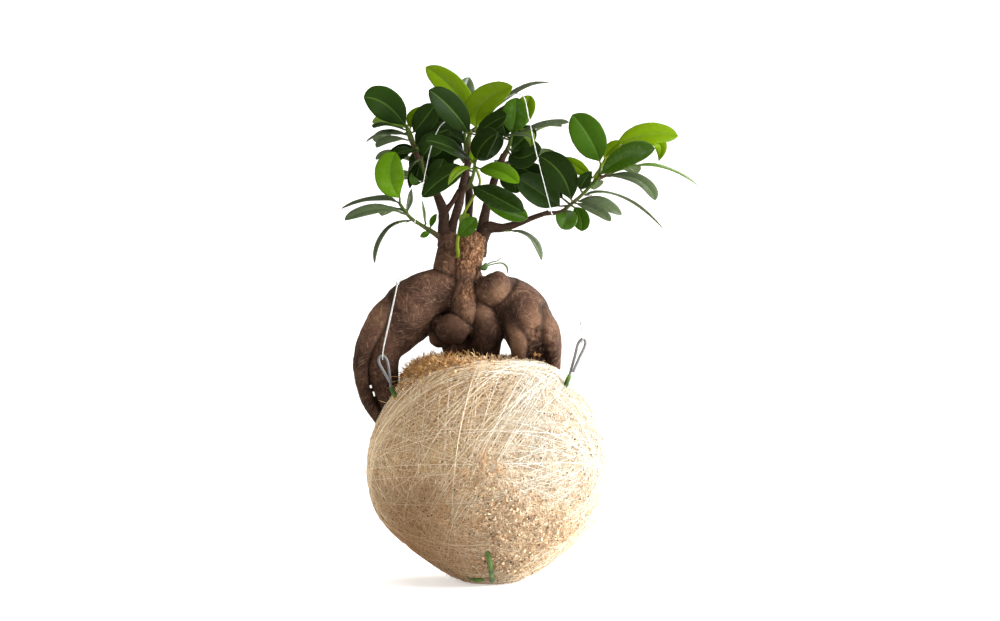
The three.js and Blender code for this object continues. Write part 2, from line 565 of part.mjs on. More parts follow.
function hoop([x1, z1, x2, z2]) {
  const squash = BALL_HALF_HEIGHT / BALL_RADIUS;
  const [a, b] = [ballFront(x1, z1, 0), ballFront(x2, z2, 0)].map(
    ([x, y, z]) => new THREE.Vector3(x, y, (z - BALL_CENTRE_Z) / squash),
  );
  const torus = new THREE.TorusGeometry(BALL_RADIUS + THREAD_LIFT, THREAD_RADIUS, 4, HOOP_STEPS);
  const axis = new THREE.Vector3(0, 0, 1);
  torus.applyQuaternion(new THREE.Quaternion().setFromUnitVectors(axis, a.cross(b).normalize()));
  return solid(torus.scale(1, 1, squash).translate(0, 0, BALL_CENTRE_Z));
}

// The threads stop short of the opening, and lie pressed into the coir under the flat spot.
const MOUTH_RADIUS = OPENING_RADIUS + 7;
const mouth = new THREE.CylinderGeometry(MOUTH_RADIUS, MOUTH_RADIUS, 30, 24).rotateX(Math.PI / 2);
const aroundMouth = solid(mouth.translate(0, 0, RIM_HEIGHT));
const winding = joined(HOOPS.map(hoop)).subtract(passages.add(aroundMouth));
const threads = largest(winding.trimByPlane([0, 0, 1], 0.3));

// Line
// The nylon line that the ball hangs by: a tied loop through each wire eye, and one run from knot to knot, up the
// left side, through the crotch of the top leaves and down on the right.
const LINE = [
  [-55.6, -18.3, 189.3], [-46, -14.8, 223.5], [-40, -12.4, 252], [-35, -10.4, 274], [-29, -7, 287], [-20, -2, 292],
  [-7, 3.2, 291.5], [2, 2, 297], [10, -1, 303], [17, -4.5, 306.5], [22.3, -7.5, 304.5], [25, -9.5, 294],
  [30, -13, 270], [38.5, -17.8, 236], [50, -23, 190], [57.2, -26.4, 164.9],
];
const LOOPS = {
  left: {
    knot: [-56.2, -18.5, 187],
    tail: [[-56.2, -18.5, 187], [-53, -19, 190], [-50, -19.3, 192]],
    run: [
      [-56.3, -18.2, 186.5], [-61, -17.8, 166], [-65, -18.2, 147], [-65.4, -18.7, 142.5], [-65.3, -21, 139.9],
      [-65.2, -23.3, 142.5], [-64.6, -23.2, 147], [-60.4, -20.4, 166], [-56.2, -18.9, 186.5],
    ],
    steps: 26,
  },
  right: {
    knot: [57.8, -26.7, 162.6],
    tail: [[57.8, -26.7, 162.6], [60.5, -27.5, 164.5], [62.5, -28, 164]],
    run: [
      [57.8, -27.1, 162], [58.7, -29.3, 156.5], [58.9, -29.4, 153], [58.3, -27, 150.2], [58, -24.6, 153],
      [58, -24.7, 156.5], [57.8, -26.4, 162],
    ],
    steps: 14,
  },
};
function tiedLoop({ knot, tail, run, steps }) {
  const ball = new THREE.SphereGeometry(1.2, 6, 5).scale(1, 1, 1.4).translate(...knot);
  return joined([
    solid(ball),
    tube(tail, LINE_RADIUS, { sides: 4, steps: 3 }),
    tube(run, LINE_RADIUS, { sides: 4, steps }),
  ]);
}

// Bud
// A side bud on the cut stump, with the two thin tendrils that hang from it.
const TENDRIL_RADIUS = 0.45;
const bud = joined([
  limb([[-4, -6, 197, 1.3], [-2, -9, 197.5, 2], [-1, -11, 199.5, 1.1]], { sides: 6, rings: 3 }),
  tube([[-1.5, -10, 198.5], [2, -11, 200.5], [6, -12, 201.5], [8.5, -12, 203.5]], TENDRIL_RADIUS, { sides: 4, steps: 5 }),
  tube([[-1.5, -10, 198], [4, -10, 199.6], [9, -10, 200], [12, -10, 197.5], [12.3, -10, 194]], TENDRIL_RADIUS, {
    sides: 4,
    steps: 7,
  }),
]).subtract(woodWithGap);

// Assembly
const materials = {
  bark: new THREE.MeshStandardMaterial({ color: 0x4a372b, roughness: 0.85 }),
  leaf: new THREE.MeshStandardMaterial({ color: 0x2c5a1e, roughness: 0.35 }),
  young_leaf: new THREE.MeshStandardMaterial({ color: 0x8aa81e, roughness: 0.4 }),
  coir: new THREE.MeshStandardMaterial({ color: 0xc9ac7c, roughness: 0.95 }),
  soil: new THREE.MeshStandardMaterial({ color: 0x3b2a1e, roughness: 1 }),
  thread: new THREE.MeshStandardMaterial({ color: 0xe6dcc2, roughness: 0.6 }),
  wire: new THREE.MeshStandardMaterial({ color: 0x9a9a9c, roughness: 0.35, metalness: 1 }),
  coat: new THREE.MeshStandardMaterial({ color: 0x2f6b22, roughness: 0.45 }),
  line: new THREE.MeshStandardMaterial({ color: 0xf2f0ea, roughness: 0.3 }),
};
const YOUNG = ["young_left_top", "young_crown", "young_right", "water_sprout"];
const group = new THREE.Group();

function add(name, body, material) {
  const mesh = new THREE.Mesh(geometryOf(body), materials[material]);
  mesh.name = name;
  group.add(mesh);
}

add("soil_core", soil, "soil");
add("coir_wrap", wrap, "coir");
add("thread_winding", threads, "thread");
add("ficus_wood", wood, "bark");
for (const { side, wire, coat } of hangers) {
  add(`hanger_wire_${side}`, wire, "wire");
  add(`hanger_coat_${side}`, coat, "coat");
}
for (const [side, loop] of Object.entries(LOOPS)) add(`line_loop_${side}`, tiedLoop(loop), "line");
add("hanging_line", tube(LINE, LINE_RADIUS, { sides: 6, steps: 34 }), "line");
add("trunk_bud", largest(bud), "young_leaf");
for (const [name, layout] of Object.entries(SHOOTS)) {
  const material = YOUNG.includes(name) ? "young_leaf" : "leaf";
  add(name, largest(shoot(layout).subtract(woodWithGap)), material);
}

export default group;
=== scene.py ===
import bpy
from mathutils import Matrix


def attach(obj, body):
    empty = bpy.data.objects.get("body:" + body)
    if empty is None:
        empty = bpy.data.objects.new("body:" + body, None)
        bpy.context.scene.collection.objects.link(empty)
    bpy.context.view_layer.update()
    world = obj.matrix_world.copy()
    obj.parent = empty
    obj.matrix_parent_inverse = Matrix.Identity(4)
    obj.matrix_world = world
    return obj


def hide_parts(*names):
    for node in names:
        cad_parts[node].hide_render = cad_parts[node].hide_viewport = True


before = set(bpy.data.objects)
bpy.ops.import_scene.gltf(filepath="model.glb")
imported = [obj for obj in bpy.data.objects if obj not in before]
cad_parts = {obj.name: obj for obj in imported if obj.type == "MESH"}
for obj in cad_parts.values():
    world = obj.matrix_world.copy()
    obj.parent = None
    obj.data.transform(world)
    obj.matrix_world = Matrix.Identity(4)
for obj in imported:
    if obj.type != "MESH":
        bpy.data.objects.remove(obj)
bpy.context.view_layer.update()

# Camera and studio
# The plant stands on a wide pale floor that curves up all round it, and is seen level with its middle.
# A strong soft box on the right gives the ball its bright side, and a weak one fills the left.
import math
import bpy
import numpy as np
from mathutils import Vector, noise

MM = 0.001
EYE, LENS = (0.0076, -1.5, 0.1704), 85.7
AIM = Vector((0.0, 0.0, 0.15))
SOFT_BOXES = {
    "right_soft_box": ((1.3, -0.36, 0.56), 0.8, 80, (0.95, 0.975, 1.0)),
    "left_soft_box": ((-0.9, -1.15, 0.6), 0.9, 7, (1.0, 0.96, 0.90)),
    "right_back_soft_box": ((0.7, 0.9, 0.8), 0.7, 14, (1.0, 0.99, 0.97)),
    "overhead_soft_box": ((-0.2, -0.1, 1.3), 0.9, 8, (1.0, 1.0, 1.0)),
}
SKY_COLOUR, SKY_STRENGTH = (1.0, 0.965, 0.91, 1.0), 0.42


def set_out(name, data):
    """A new object in the scene."""
    thing = bpy.data.objects.new(name, data)
    bpy.context.scene.collection.objects.link(thing)
    return thing


eye = bpy.data.cameras.new("level_view")
eye.lens = LENS
eye.sensor_width = 36
eye.clip_start = 0.05
camera = set_out("level_view", eye)
camera.location = EYE
camera.rotation_euler = (math.radians(90), 0, 0)
bpy.context.scene.camera = camera

for name, (place, size, watts, colour) in SOFT_BOXES.items():
    light = bpy.data.lights.new(name, "AREA")
    light.size, light.energy, light.color = size, watts, colour
    box = set_out(name, light)
    box.location = place
    box.rotation_euler = (AIM - Vector(place)).to_track_quat("-Z", "Y").to_euler()
sky = bpy.data.worlds.new("white_room")
sky.use_nodes = True
backdrop = sky.node_tree.nodes["Background"]
backdrop.inputs["Color"].default_value = SKY_COLOUR
backdrop.inputs["Strength"].default_value = SKY_STRENGTH
bpy.context.scene.world = sky
bpy.context.scene.view_settings.view_transform = "Standard"


class Reading:
    """A value on its way through a finish's nodes. Sums on readings add Math nodes."""

    def __init__(self, finish, socket):
        self.finish = finish
        self.socket = socket

    def worked(self, operation, first, second=0.0):
        return self.finish.node("Math", {"operation": operation}, {0: first, 1: second})

    def __add__(self, other):
        return self.worked("ADD", self, other)

    def __sub__(self, other):
        return self.worked("SUBTRACT", self, other)

    def __rsub__(self, other):
        return self.worked("SUBTRACT", other, self)

    def __mul__(self, other):
        return self.worked("MULTIPLY", self, other)

    def __abs__(self):
        return self.worked("ABSOLUTE", self)

    __radd__, __rmul__ = __add__, __mul__


class Finish:
    """A material for one kind of surface, built node by node."""

    def __init__(self, name):
        self.material = bpy.data.materials.new(name)
        self.material.use_nodes = True
        self.tree = self.material.node_tree
        self.shader = self.tree.nodes["Principled BSDF"]

    def node(self, kind, settings=None, inputs=None, result=None):
        """Adds a node: first its settings, or a ramp's stops, then the numbers or links of its sockets."""
        made = self.tree.nodes.new("ShaderNode" + kind)
        for key, value in (settings or {}).items():
            if key == "stops":
                ramp = made.color_ramp
                while len(ramp.elements) > 1:
                    ramp.elements.remove(ramp.elements[0])
                ramp.elements[0].position, ramp.elements[0].color = value[0][0], (*value[0][1], 1.0)
                for position, colour in value[1:]:
                    ramp.elements.new(position).color = (*colour, 1.0)
            else:
                setattr(made, key, value)
        for key, value in (inputs or {}).items():
            self.put(self.find(made.inputs, key), value)
        return Reading(self, made.outputs[0] if result is None else self.find(made.outputs, result))

    def find(self, sockets, key):
        if isinstance(key, int):
            return sockets[key]
        return next((s for s in sockets if s.identifier == key), None) or sockets[key]

    def put(self, socket, value):
        if isinstance(value, Reading):
            self.tree.links.new(value.socket, socket)
        elif socket.type == "RGBA" and len(value) == 3:
            socket.default_value = (*value, 1.0)
        else:
            socket.default_value = value

    def place(self):
        """Where a point lies, in metres."""
        return self.node("TexCoord", result="Object")

    def cloud(self, where, scale, detail=3.0, roughness=0.55):
        """Soft noise from 0 to 1, its patches about 1/scale metres wide."""
        inputs = {"Vector": where, "Scale": scale, "Detail": detail, "Roughness": roughness}
        return self.node("TexNoise", {}, inputs)

    def streaks(self, where, scales, detail=3.0, roughness=0.55):
        """Noise drawn out, with a scale for each axis."""
        drawn = self.node("VectorMath", {"operation": "MULTIPLY"}, {0: where, 1: scales})
        return self.cloud(drawn, 1.0, detail, roughness)

    def dots(self, where, scale):
        """How far each point lies from the nearest of many scattered dots."""
        return self.node("TexVoronoi", {"feature": "F1"}, {"Vector": where, "Scale": scale})

    def step(self, value, low, high):
        """0 below low, 1 above high, and smooth between."""
        inputs = {"Value": value, "From Min": low, "From Max": high}
        return self.node("MapRange", {"interpolation_type": "SMOOTHSTEP"}, inputs)

    def blend(self, under, over, share, mode="MIX"):
        inputs = {"Factor_Float": share, "A_Color": under, "B_Color": over}
        return self.node("Mix", {"data_type": "RGBA", "blend_type": mode}, inputs, "Result_Color")

    def coated(self, colour, *coats):
        """A colour with coats over it in turn, each a colour, its share and any mode but a plain mix."""
        for coat in coats:
            colour = self.blend(colour, *coat)
        return colour

    def ramp(self, share, *stops):
        return self.node("ValToRGB", {"stops": stops}, {"Fac": share})

    def each_its_own(self, *stops):
        """A colour off a ramp that differs from one loose bit of the mesh to the next."""
        return self.ramp(self.node("NewGeometry", result="Random Per Island"), *stops)

    def written(self, name, result="Fac"):
        """A number or a vector that the mesh carries at each point."""
        return self.node("Attribute", {"attribute_name": name}, {}, result)

    def parted(self, vector):
        return [self.node("SeparateXYZ", {}, {0: vector}, axis) for axis in "XYZ"]

    def wear(self, **sockets):
        """Sets the shader's own sockets, named with underscores for spaces."""
        for key, value in sockets.items():
            self.put(self.shader.inputs[key.replace("_", " ")], value)

    def relief(self, height, depth):
        """Bumps of so many metres."""
        return self.node("Bump", {}, {"Strength": 1.0, "Distance": depth, "Height": height})


def net(rows, across, start=0, closed=True):
    """Faces between rows of points. In a closed net each row's last point joins its first."""
    steps = [(k, (k + 1) % across) for k in range(across if closed else across - 1)]
    firsts = range(start, start + (rows - 1) * across, across)
    return [(a + k, a + after, a + across + after, a + across + k) for a in firsts for k, after in steps]


def turned_over(faces):
    """The same faces, seen from their other side."""
    return [(a, d, c, b) for a, b, c, d in faces]


table_finish = Finish("pale_table")
table_grain = table_finish.cloud(table_finish.place(), 9.0)
table_finish.wear(
    Base_Color=table_finish.blend((0.93, 0.925, 0.915), (0.96, 0.955, 0.95), table_grain),
    Roughness=0.6,
    Emission_Color=(1.0, 0.985, 0.955, 1.0),
    Emission_Strength=0.45,
)
FLOOR_MIDDLE, FLOOR_REACH, FLOOR_BEND, FLOOR_SIDES = 0.2, 2.4, 0.9, 72
UNDER_PLANT = -0.1 * MM
profile = [(FLOOR_MIDDLE, 0.0), (FLOOR_REACH, 0.0)]
for bend in np.radians(range(10, 91, 10)):
    profile.append((FLOOR_REACH + FLOOR_BEND * math.sin(bend), FLOOR_BEND * (1 - math.cos(bend))))
spots = [(0.0, 0.0, UNDER_PLANT)]
for reach, rise in profile:
    for turn in np.arange(FLOOR_SIDES) * 2 * math.pi / FLOOR_SIDES:
        spots.append((reach * math.cos(turn), reach * math.sin(turn), rise + UNDER_PLANT))
panels = [(0, 1 + k, 1 + (k + 1) % FLOOR_SIDES) for k in range(FLOOR_SIDES)]
panels += turned_over(net(len(profile), FLOOR_SIDES, start=1))
table = bpy.data.meshes.new("pale_table")
table.from_pydata(spots, [], panels)
table.shade_smooth()
table.materials.append(table_finish.material)
set_out("pale_table", table)

# Hanging line
# The ball hangs by one clear nylon line, 0.6 mm thick. It is tied in a doubled loop through each wire eye,
# and one run goes from knot to knot, up through the crotch of the top leaves and down on the other side.
LINE_RADIUS, LINE_SIDES = 0.3, 8
WRAPS, WRAP_POINTS, KNOT_RADIUS, WRAP_APART, WRAP_TILT = 3, 17, 0.75, 0.62, 0.5
END_BULGE = 0.6


def smooth(points, steps):
    """steps + 1 places on a smooth curve through points in millimetres, any fourth number a radius."""
    knots = np.array(points, float) * MM
    knots = np.vstack([2 * knots[0] - knots[1], knots, 2 * knots[-1] - knots[-2]])
    spans = len(points) - 1
    places = []
    for share in np.linspace(0, spans, steps + 1):
        i = min(int(share), spans - 1)
        p0, p1, p2, p3 = knots[i : i + 4]
        d0, d1, d2 = (math.sqrt(np.linalg.norm((b - a)[:3])) for a, b in ((p0, p1), (p1, p2), (p2, p3)))
        m1 = ((p1 - p0) / d0 - (p2 - p0) / (d0 + d1) + (p2 - p1) / d1) * d1
        m2 = ((p2 - p1) / d1 - (p3 - p1) / (d1 + d2) + (p3 - p2) / d2) * d1
        s = share - i
        places.append(
            (2 * s**3 - 3 * s**2 + 1) * p1
            + (s**3 - 2 * s**2 + s) * m1
            + (3 * s**2 - 2 * s**3) * p2
            + (s**3 - s**2) * m2
        )
    return np.array(places)


def settle(thing, node_slot, *nodes):
    """The piece rides on the root body and stands for the CAD nodes named."""
    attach(thing, "root")
    if nodes:
        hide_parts(*nodes)
    return thing


def made(name, points, faces, finish, node_slot, *nodes, smooth_skin=True, marks=None):
    """A piece of the plant as a mesh, with what its finish reads at each point."""
    mesh = bpy.data.meshes.new(name)
    mesh.from_pydata(points, [], faces)
    for mark, values in (marks or {}).items():
        values = np.asarray(values, np.float32)
        kind, key = ("FLOAT_VECTOR", "vector") if values.ndim == 2 else ("FLOAT", "value")
        mesh.attributes.new(mark, kind, "POINT").data.foreach_set(key, values.ravel())
    mesh.validate()
    if smooth_skin:
        mesh.shade_smooth()
    mesh.materials.append(finish)
    return settle(set_out(name, mesh), node_slot, *nodes)


def strung(name, points, steps, node):
    """The line from its knot on, as a curve with one spline."""
    route = smooth(points, steps)
    curve = bpy.data.curves.new(name, "CURVE")
    curve.dimensions = "3D"
    curve.bevel_depth = LINE_RADIUS * MM
    curve.bevel_resolution = 3
    curve.use_fill_caps = True
    spline = curve.splines.new("POLY")
    spline.points.add(len(route) - 1)
    for point, place in zip(spline.points, route):
        point.co = (*place, 1.0)
    curve.materials.append(nylon.material)
    line = settle(set_out(name, curve), "line", node)


def unit(ways):
    """The same directions, each one long."""
    return ways / (np.linalg.norm(ways, axis=-1, keepdims=True) + 1e-12)


def swept(run, sides, lumps=None):
    """Points and faces of a round rod along a run of places with radii, closed at both ends."""
    run = np.asarray(run, float)
    along = unit(np.gradient(run[:, :3], axis=0))
    across = np.cross(along[0], (0.0, 0.0, 1.0) if abs(along[0][2]) < 0.9 else (0.0, 1.0, 0.0))
    points = [run[0, :3] - along[0] * run[0, 3] * END_BULGE]
    turns = np.linspace(0, 2 * math.pi, sides, endpoint=False)
    for i, (place, way) in enumerate(zip(run, along)):
        across = unit(across - way * across.dot(way))
        ring = np.outer(np.cos(turns), across) + np.outer(np.sin(turns), np.cross(way, across))
        points.extend(place[:3] + ring * place[3] * (1 + (lumps[i] if lumps is not None else 0)))
    points.append(run[-1, :3] + along[-1] * run[-1, 3] * END_BULGE)
    faces = net(len(run), sides, start=1)
    last = 1 + (len(run) - 1) * sides
    for k in range(sides):
        faces.append((0, 1 + (k + 1) % sides, 1 + k))
        faces.append((last + k, last + (k + 1) % sides, len(points) - 1))
    return np.array(points), faces


def gathered(parts):
    """Several meshes' points and faces as one."""
    points, faces, count = [], [], 0
    for part_points, part_faces in parts:
        points.append(part_points)
        faces.extend(tuple(int(v) + count for v in face) for face in part_faces)
        count += len(part_points)
    return np.concatenate(points), faces


nylon = Finish("clear_nylon")
nylon_wear = nylon.cloud(nylon.place(), 700.0)
nylon.wear(
    Base_Color=nylon.blend((0.46, 0.47, 0.45), (0.66, 0.66, 0.63), nylon_wear),
    Roughness=0.15 + nylon_wear * 0.2,
    Transmission_Weight=0.45,
    Normal=nylon.relief(nylon_wear, 0.05 * MM),
)

LINE = [
    (-55.6, -18.3, 189.3), (-46, -14.8, 223.5), (-40, -12.4, 252), (-35, -10.4, 274), (-29, -7, 287),
    (-20, -2, 292), (-7, 3.2, 291.5), (2, 2, 297), (10, -1, 303), (17, -4.5, 306.5), (22.3, -7.5, 304.5),
    (25, -9.5, 294), (30, -13, 270), (38.5, -17.8, 236), (50, -23, 190), (57.2, -26.4, 164.9),
]
LEFT_LOOP = [
    (-56.3, -18.2, 186.5), (-61, -17.8, 166), (-65, -18.2, 147), (-65.4, -18.7, 142.5), (-65.3, -21, 139.9),
    (-65.2, -23.3, 142.5), (-64.6, -23.2, 147), (-60.4, -20.4, 166), (-56.2, -18.9, 186.5),
]
RIGHT_LOOP = [
    (57.8, -27.1, 162), (58.7, -29.3, 156.5), (58.9, -29.4, 153), (58.3, -27, 150.2), (58, -24.6, 153),
    (58, -24.7, 156.5), (57.8, -26.4, 162),
]
KNOTS = {
    "left": ((-56.2, -18.5, 187), [(-56.2, -18.5, 187), (-53, -19, 190), (-50, -19.3, 192)]),
    "right": ((57.8, -26.7, 162.6), [(57.8, -26.7, 162.6), (60.5, -27.5, 164.5), (62.5, -28, 164)]),
}


def knot(side, *others):
    """Three wraps of the line drawn tight round itself, and the cut tail that stands out of them."""
    middle, tail = KNOTS[side]
    parts = list(others)
    turns = np.linspace(0, 2 * math.pi, WRAP_POINTS)
    for k in range(WRAPS):
        wrap = np.empty((WRAP_POINTS, 4))
        wrap[:, 0] = middle[0] + KNOT_RADIUS * np.cos(turns)
        wrap[:, 1] = middle[1] + KNOT_RADIUS * np.sin(turns)
        wrap[:, 2] = middle[2] + (k - 1) * WRAP_APART + WRAP_TILT * np.cos(turns + k)
        wrap[:, 3] = LINE_RADIUS
        parts.append(swept(wrap * MM, LINE_SIDES))
    parts.append(swept(smooth([(*p, LINE_RADIUS) for p in tail], 12), LINE_SIDES))
    return gathered(parts)


# The right loop is too short to hang by itself, so it is one piece with its knot.
left_knot = made("line_knot_left", *knot("left"), nylon.material, "line")
right_loop = swept(smooth([(*p, LINE_RADIUS) for p in RIGHT_LOOP], 60), LINE_SIDES)
right_knot = made(
    "line_loop_right_tied", *knot("right", right_loop), nylon.material, "line", "line_loop_right",
)
strung("line_loop_left_tied", LEFT_LOOP, 96, "line_loop_left")
strung("hanging_line_run", LINE, 180, "hanging_line")

# Roots, trunk and branches
# One grown piece: storage roots swollen like thighs and lifted clear of the soil, a short trunk that was sawn
# off at the top, and the thin woody branches that grew from it afterwards.
LIMBS = {
    "left_thigh": [
        (-18, 0, 186, 11), (-31, 0, 182.5, 14.8), (-42.5, 1, 175.5, 18.3), (-52, 2, 166, 18.6),
        (-60, 2, 154.5, 14.8), (-65.5, 1, 143, 10.6), (-66, 1, 131, 9.7), (-63.5, 2, 120, 8),
        (-58, 3, 103, 6.5),
    ],
    "left_finger": [
        (-56, -3, 174, 9.5), (-65, -6, 167, 9), (-72, -8, 158, 7), (-77.5, -8, 148, 5.8), (-80, -7, 137, 4.9),
        (-79, -5, 125, 4.1), (-75, -2, 113, 4.4), (-68, 1, 100, 3),
    ],
    "neck": [
        (-14, -2, 200, 8), (-14, -6, 188, 8), (-14.5, -9, 178, 8.5), (-14, -9, 169, 9.5), (-17, -7, 160, 9),
    ],
    "middle_root": [
        (-11, -5, 180, 6), (-5, -7, 170, 8.8), (-1.5, -6, 160, 11), (-2, -3, 148, 10.2), (-2, 0, 136, 9),
    ],
    "middle_knob": [(-27, -8, 161, 8.2), (-22, -12, 159, 10.2), (-16, -10, 158, 8.5)],
    "low_knob": [(-26, -3, 156, 8), (-31.5, -5, 153, 7), (-34, -4, 151.5, 5.5)],
    "low_root": [(-24, 3, 169, 8), (-22, 2, 160, 10), (-20.5, 2, 150, 9.5), (-18, 3, 137, 8)],
    "back_root": [(-16, 6, 186, 12), (-12, 14, 170, 12.5), (-9, 19, 156, 10.5), (-8, 20, 138, 7)],
    "right_knob": [(-1, -7, 186, 9), (4, -9, 184, 12), (9, -7, 184, 11)],
    "right_thigh": [
        (-6, 0, 184, 8), (8, -2, 181, 12.5), (20, -4, 172, 16), (26, -4, 160, 17), (29.5, 2, 149, 15.5),
        (30, 4, 134, 10),
    ],
    "right_inner_foot": [
        (17, -8, 171, 11), (19.5, -11, 160, 9.5), (20.5, -13.5, 151, 7), (19.5, -12, 142, 5.3),
        (18, -8, 129, 4.2),
    ],
    "right_outer_foot": [
        (29, -7, 167, 11.5), (36, -9, 156, 9.5), (39, -7, 147, 7.5), (40, -5, 139, 6), (40.5, -1, 126, 4.2),
    ],
    "trunk": [(-19, 3, 182, 12), (-24, 1, 191, 11), (-25, 0, 201, 9), (-24.5, 0, 210, 7.5), (-26, 0, 218, 6)],
    "sawn_stump": [(-12, 0, 186, 9), (-12, -2, 196, 7.6), (-11, -2, 207, 8.4), (-10, -1, 216.5, 8.6)],
}
BRANCHES = {
    "left_branch": [
        (-26, 0, 212, 6), (-28, 1, 222, 3.6), (-28, 1, 232, 3.2), (-32, 3, 243, 2.7), (-38, 5, 256, 2.3),
        (-44, 6, 268, 1.9),
    ],
    "centre_branch": [
        (-25, 2, 212, 5), (-22.5, 3, 224, 3), (-18.5, 4, 237, 2.6), (-16, 5, 250, 2.4), (-13, 5, 262, 2.2),
        (-10, 4, 272, 2),
    ],
    "linking_twig": [(-27, 1, 233, 2.4), (-23, 2, 238, 1.6), (-18, 4, 246, 1.8)],
    "right_branch": [
        (-8, 3, 206, 7), (-5, 4, 216, 5.4), (0, 3, 222.5, 4.2), (9, 0, 222.5, 2.8), (20, -3, 225.5, 1.9),
        (29, -5, 229, 1.7), (38, -7, 232, 1.5),
    ],
    "right_leader": [
        (-4, 4, 219, 4.2), (-2, 6, 231, 3.1), (1, 7, 243, 2.6), (5, 7, 256, 2.3), (10, 6, 269, 2),
    ],
    "back_branch": [(-15, 6, 212, 5), (-13, 14, 226, 3), (-12, 21, 242, 2.5), (-13, 26, 256, 2)],
}
ROOT_SIDES, BRANCH_SIDES, ROOT_VOXEL = 28, 16, 0.95 * MM
RUBS, RUB_SHARE = 3, 0.6
CREASE_WIDTH, CREASE_DEPTH = 1.0 * MM, 0.7


def knobbly(runs):
    """All limbs grown together: their rods are fused by a fine voxel skin and rubbed smooth."""
    points, faces = gathered([swept(run, ROOT_SIDES) for run in runs])
    mesh = bpy.data.meshes.new("rough_roots")
    mesh.from_pydata(points, [], faces)
    rough = set_out("rough_roots", mesh)
    skin = rough.modifiers.new("fused", "REMESH")
    skin.mode = "VOXEL"
    skin.voxel_size = ROOT_VOXEL
    rub = rough.modifiers.new("rubbed", "SMOOTH")
    rub.factor = RUB_SHARE
    rub.iterations = RUBS
    fused = rough.evaluated_get(bpy.context.evaluated_depsgraph_get())
    grown = bpy.data.meshes.new_from_object(fused)
    bpy.data.objects.remove(rough)
    return grown


def read_off(items, key):
    """One vector of each item, as rows."""
    rows = np.empty(len(items) * 3, np.float32)
    items.foreach_get(key, rows)
    return rows.reshape(-1, 3)


root_runs = [smooth(points, 8 * (len(points) - 1)) for points in LIMBS.values()]
grown = knobbly(root_runs)

# Each point of the bark learns which limb it lies on, how far along and round it, and how near a crease.
bark_points = read_off(grown.vertices, "co").astype(float)
bark_out = read_off(grown.vertex_normals, "vector")
LENGTHWAYS = np.array((0.31, 0.86, 0.40))
off_skin, lies = [], []
for number, run in enumerate(root_runs):
    centres, radii = run[::2, :3], run[::2, 3]
    way = unit(np.gradient(centres, axis=0))
    beside = unit(LENGTHWAYS - way * (way @ LENGTHWAYS)[:, None])
    far = np.concatenate([[0], np.cumsum(np.linalg.norm(np.diff(centres, axis=0), axis=1))])
    off = np.linalg.norm(bark_points[:, None, :] - centres[None], axis=2) - radii[None]
    near = off.argmin(axis=1)
    arm = bark_points - centres[near]
    way, beside, radius = way[near], beside[near], radii[near]
    turn = np.arctan2((arm * np.cross(way, beside)).sum(axis=1), (arm * beside).sum(axis=1))
    off_skin.append(off.min(axis=1))
    lengthways = far[near] + (arm * way).sum(axis=1)
    lies.append(np.stack([lengthways, turn * radius, np.full(len(near), number * 0.01)], axis=1))
off_skin, lies = np.array(off_skin), np.array(lies)
order = off_skin.argsort(axis=0)
all_points = np.arange(len(bark_points))
grain = lies[order[0], all_points]
apart = off_skin[order[1], all_points] - off_skin[order[0], all_points]
crease = np.exp(-((apart / CREASE_WIDTH) ** 2))


def patch(spots):
    """How strongly each point of the bark lies in round patches, given as x, y, z, radius and strength."""
    strength = np.zeros(len(bark_points))
    for x, y, z, radius, most in spots:
        away = np.linalg.norm(bark_points - np.array((x, y, z)) * MM, axis=1) / (radius * MM)
        strength = np.maximum(strength, most * np.clip(1.5 - 1.5 * away, 0, 1))
    return strength


tan_patch = patch([
    (19.5, -19, 152, 13, 0.45), (-37, -8, 151, 6, 0.8), (8, -20, 181, 10, 0.45), (-22, -22, 162, 9, 0.2),
    (33, -16, 164, 16, 0.4), (-3, -14, 168, 8, 0.35), (-72, -10, 168, 12, 0.3),
])
hollow = patch([(31, -14, 147, 11, 1.0), (34, -12, 141, 9, 1.0), (30, -18, 156, 7, 0.8)])
# Painted shade: patches where the bark is darkened, full on the recessed roots low in the middle, half at the
# left feet and on the trunk, and less on the right inner foot.
painted_shade_patches = patch([
    (-20, -16, 154, 20, 1.0), (-33, -8, 152, 13, 0.9), (-3, -14, 148, 22, 1.0), (-78, -8, 132, 30, 0.5),
    (-66, -8, 130, 20, 0.5), (-24, -8, 205, 13, 0.5), (20, -20, 144, 12, 0.4),
])
neck_cork = patch([
    (-13, -18, 182, 10, 0.6), (-13, -18, 171, 9, 0.3), (-24, -9, 201, 14, 0.1), (-26, -7, 213, 9, 0.1),
])
STUMP_FOOT, STUMP_TOP = Vector((-0.0125, -0.002, 0.190)), Vector((-0.0095, -0.001, 0.2165))
STUMP_RADIUS, CORK_FADE, SAWN_RADIUS, SAWN_HEIGHT = 12.5 * MM, 3 * MM, 9.5 * MM, 0.97
stump_axis = STUMP_TOP - STUMP_FOOT
cork = np.zeros(len(bark_points))
for i, place in enumerate(bark_points):
    spot = Vector(place)
    low = (spot - STUMP_FOOT).dot(stump_axis) / stump_axis.length_squared
    from_core = (spot - STUMP_FOOT.lerp(STUMP_TOP, min(max(low, 0), 1))).length
    on_stump = min(max((STUMP_RADIUS - from_core) / CORK_FADE, 0), 1)
    cork[i] = max(min(max(0.5 + 3.0 * (low - 0.1), 0), 1) * on_stump, neck_cork[i])
    swell = 0.55 * noise.noise(spot * 55) + 0.35 * noise.noise(spot * 160) + 0.18 * noise.noise(spot * 420)
    flake = abs(noise.noise(spot * 330)) + 0.6 * abs(noise.noise(spot * 760 + Vector((3, 1, 2))))
    rise = swell * (1 - cork[i]) + cork[i] * (2.0 * flake - 0.6)
    rise -= hollow[i] * (1.4 + 4.0 * abs(noise.noise(spot * 260))) + CREASE_DEPTH * crease[i] * (1 - cork[i])
    if low > SAWN_HEIGHT and from_core < SAWN_RADIUS:
        rise += 0.6 * noise.noise(spot * 500)
    bark_points[i] = place + bark_out[i] * rise * MM
bark_faces = [tuple(f.vertices) for f in grown.polygons]
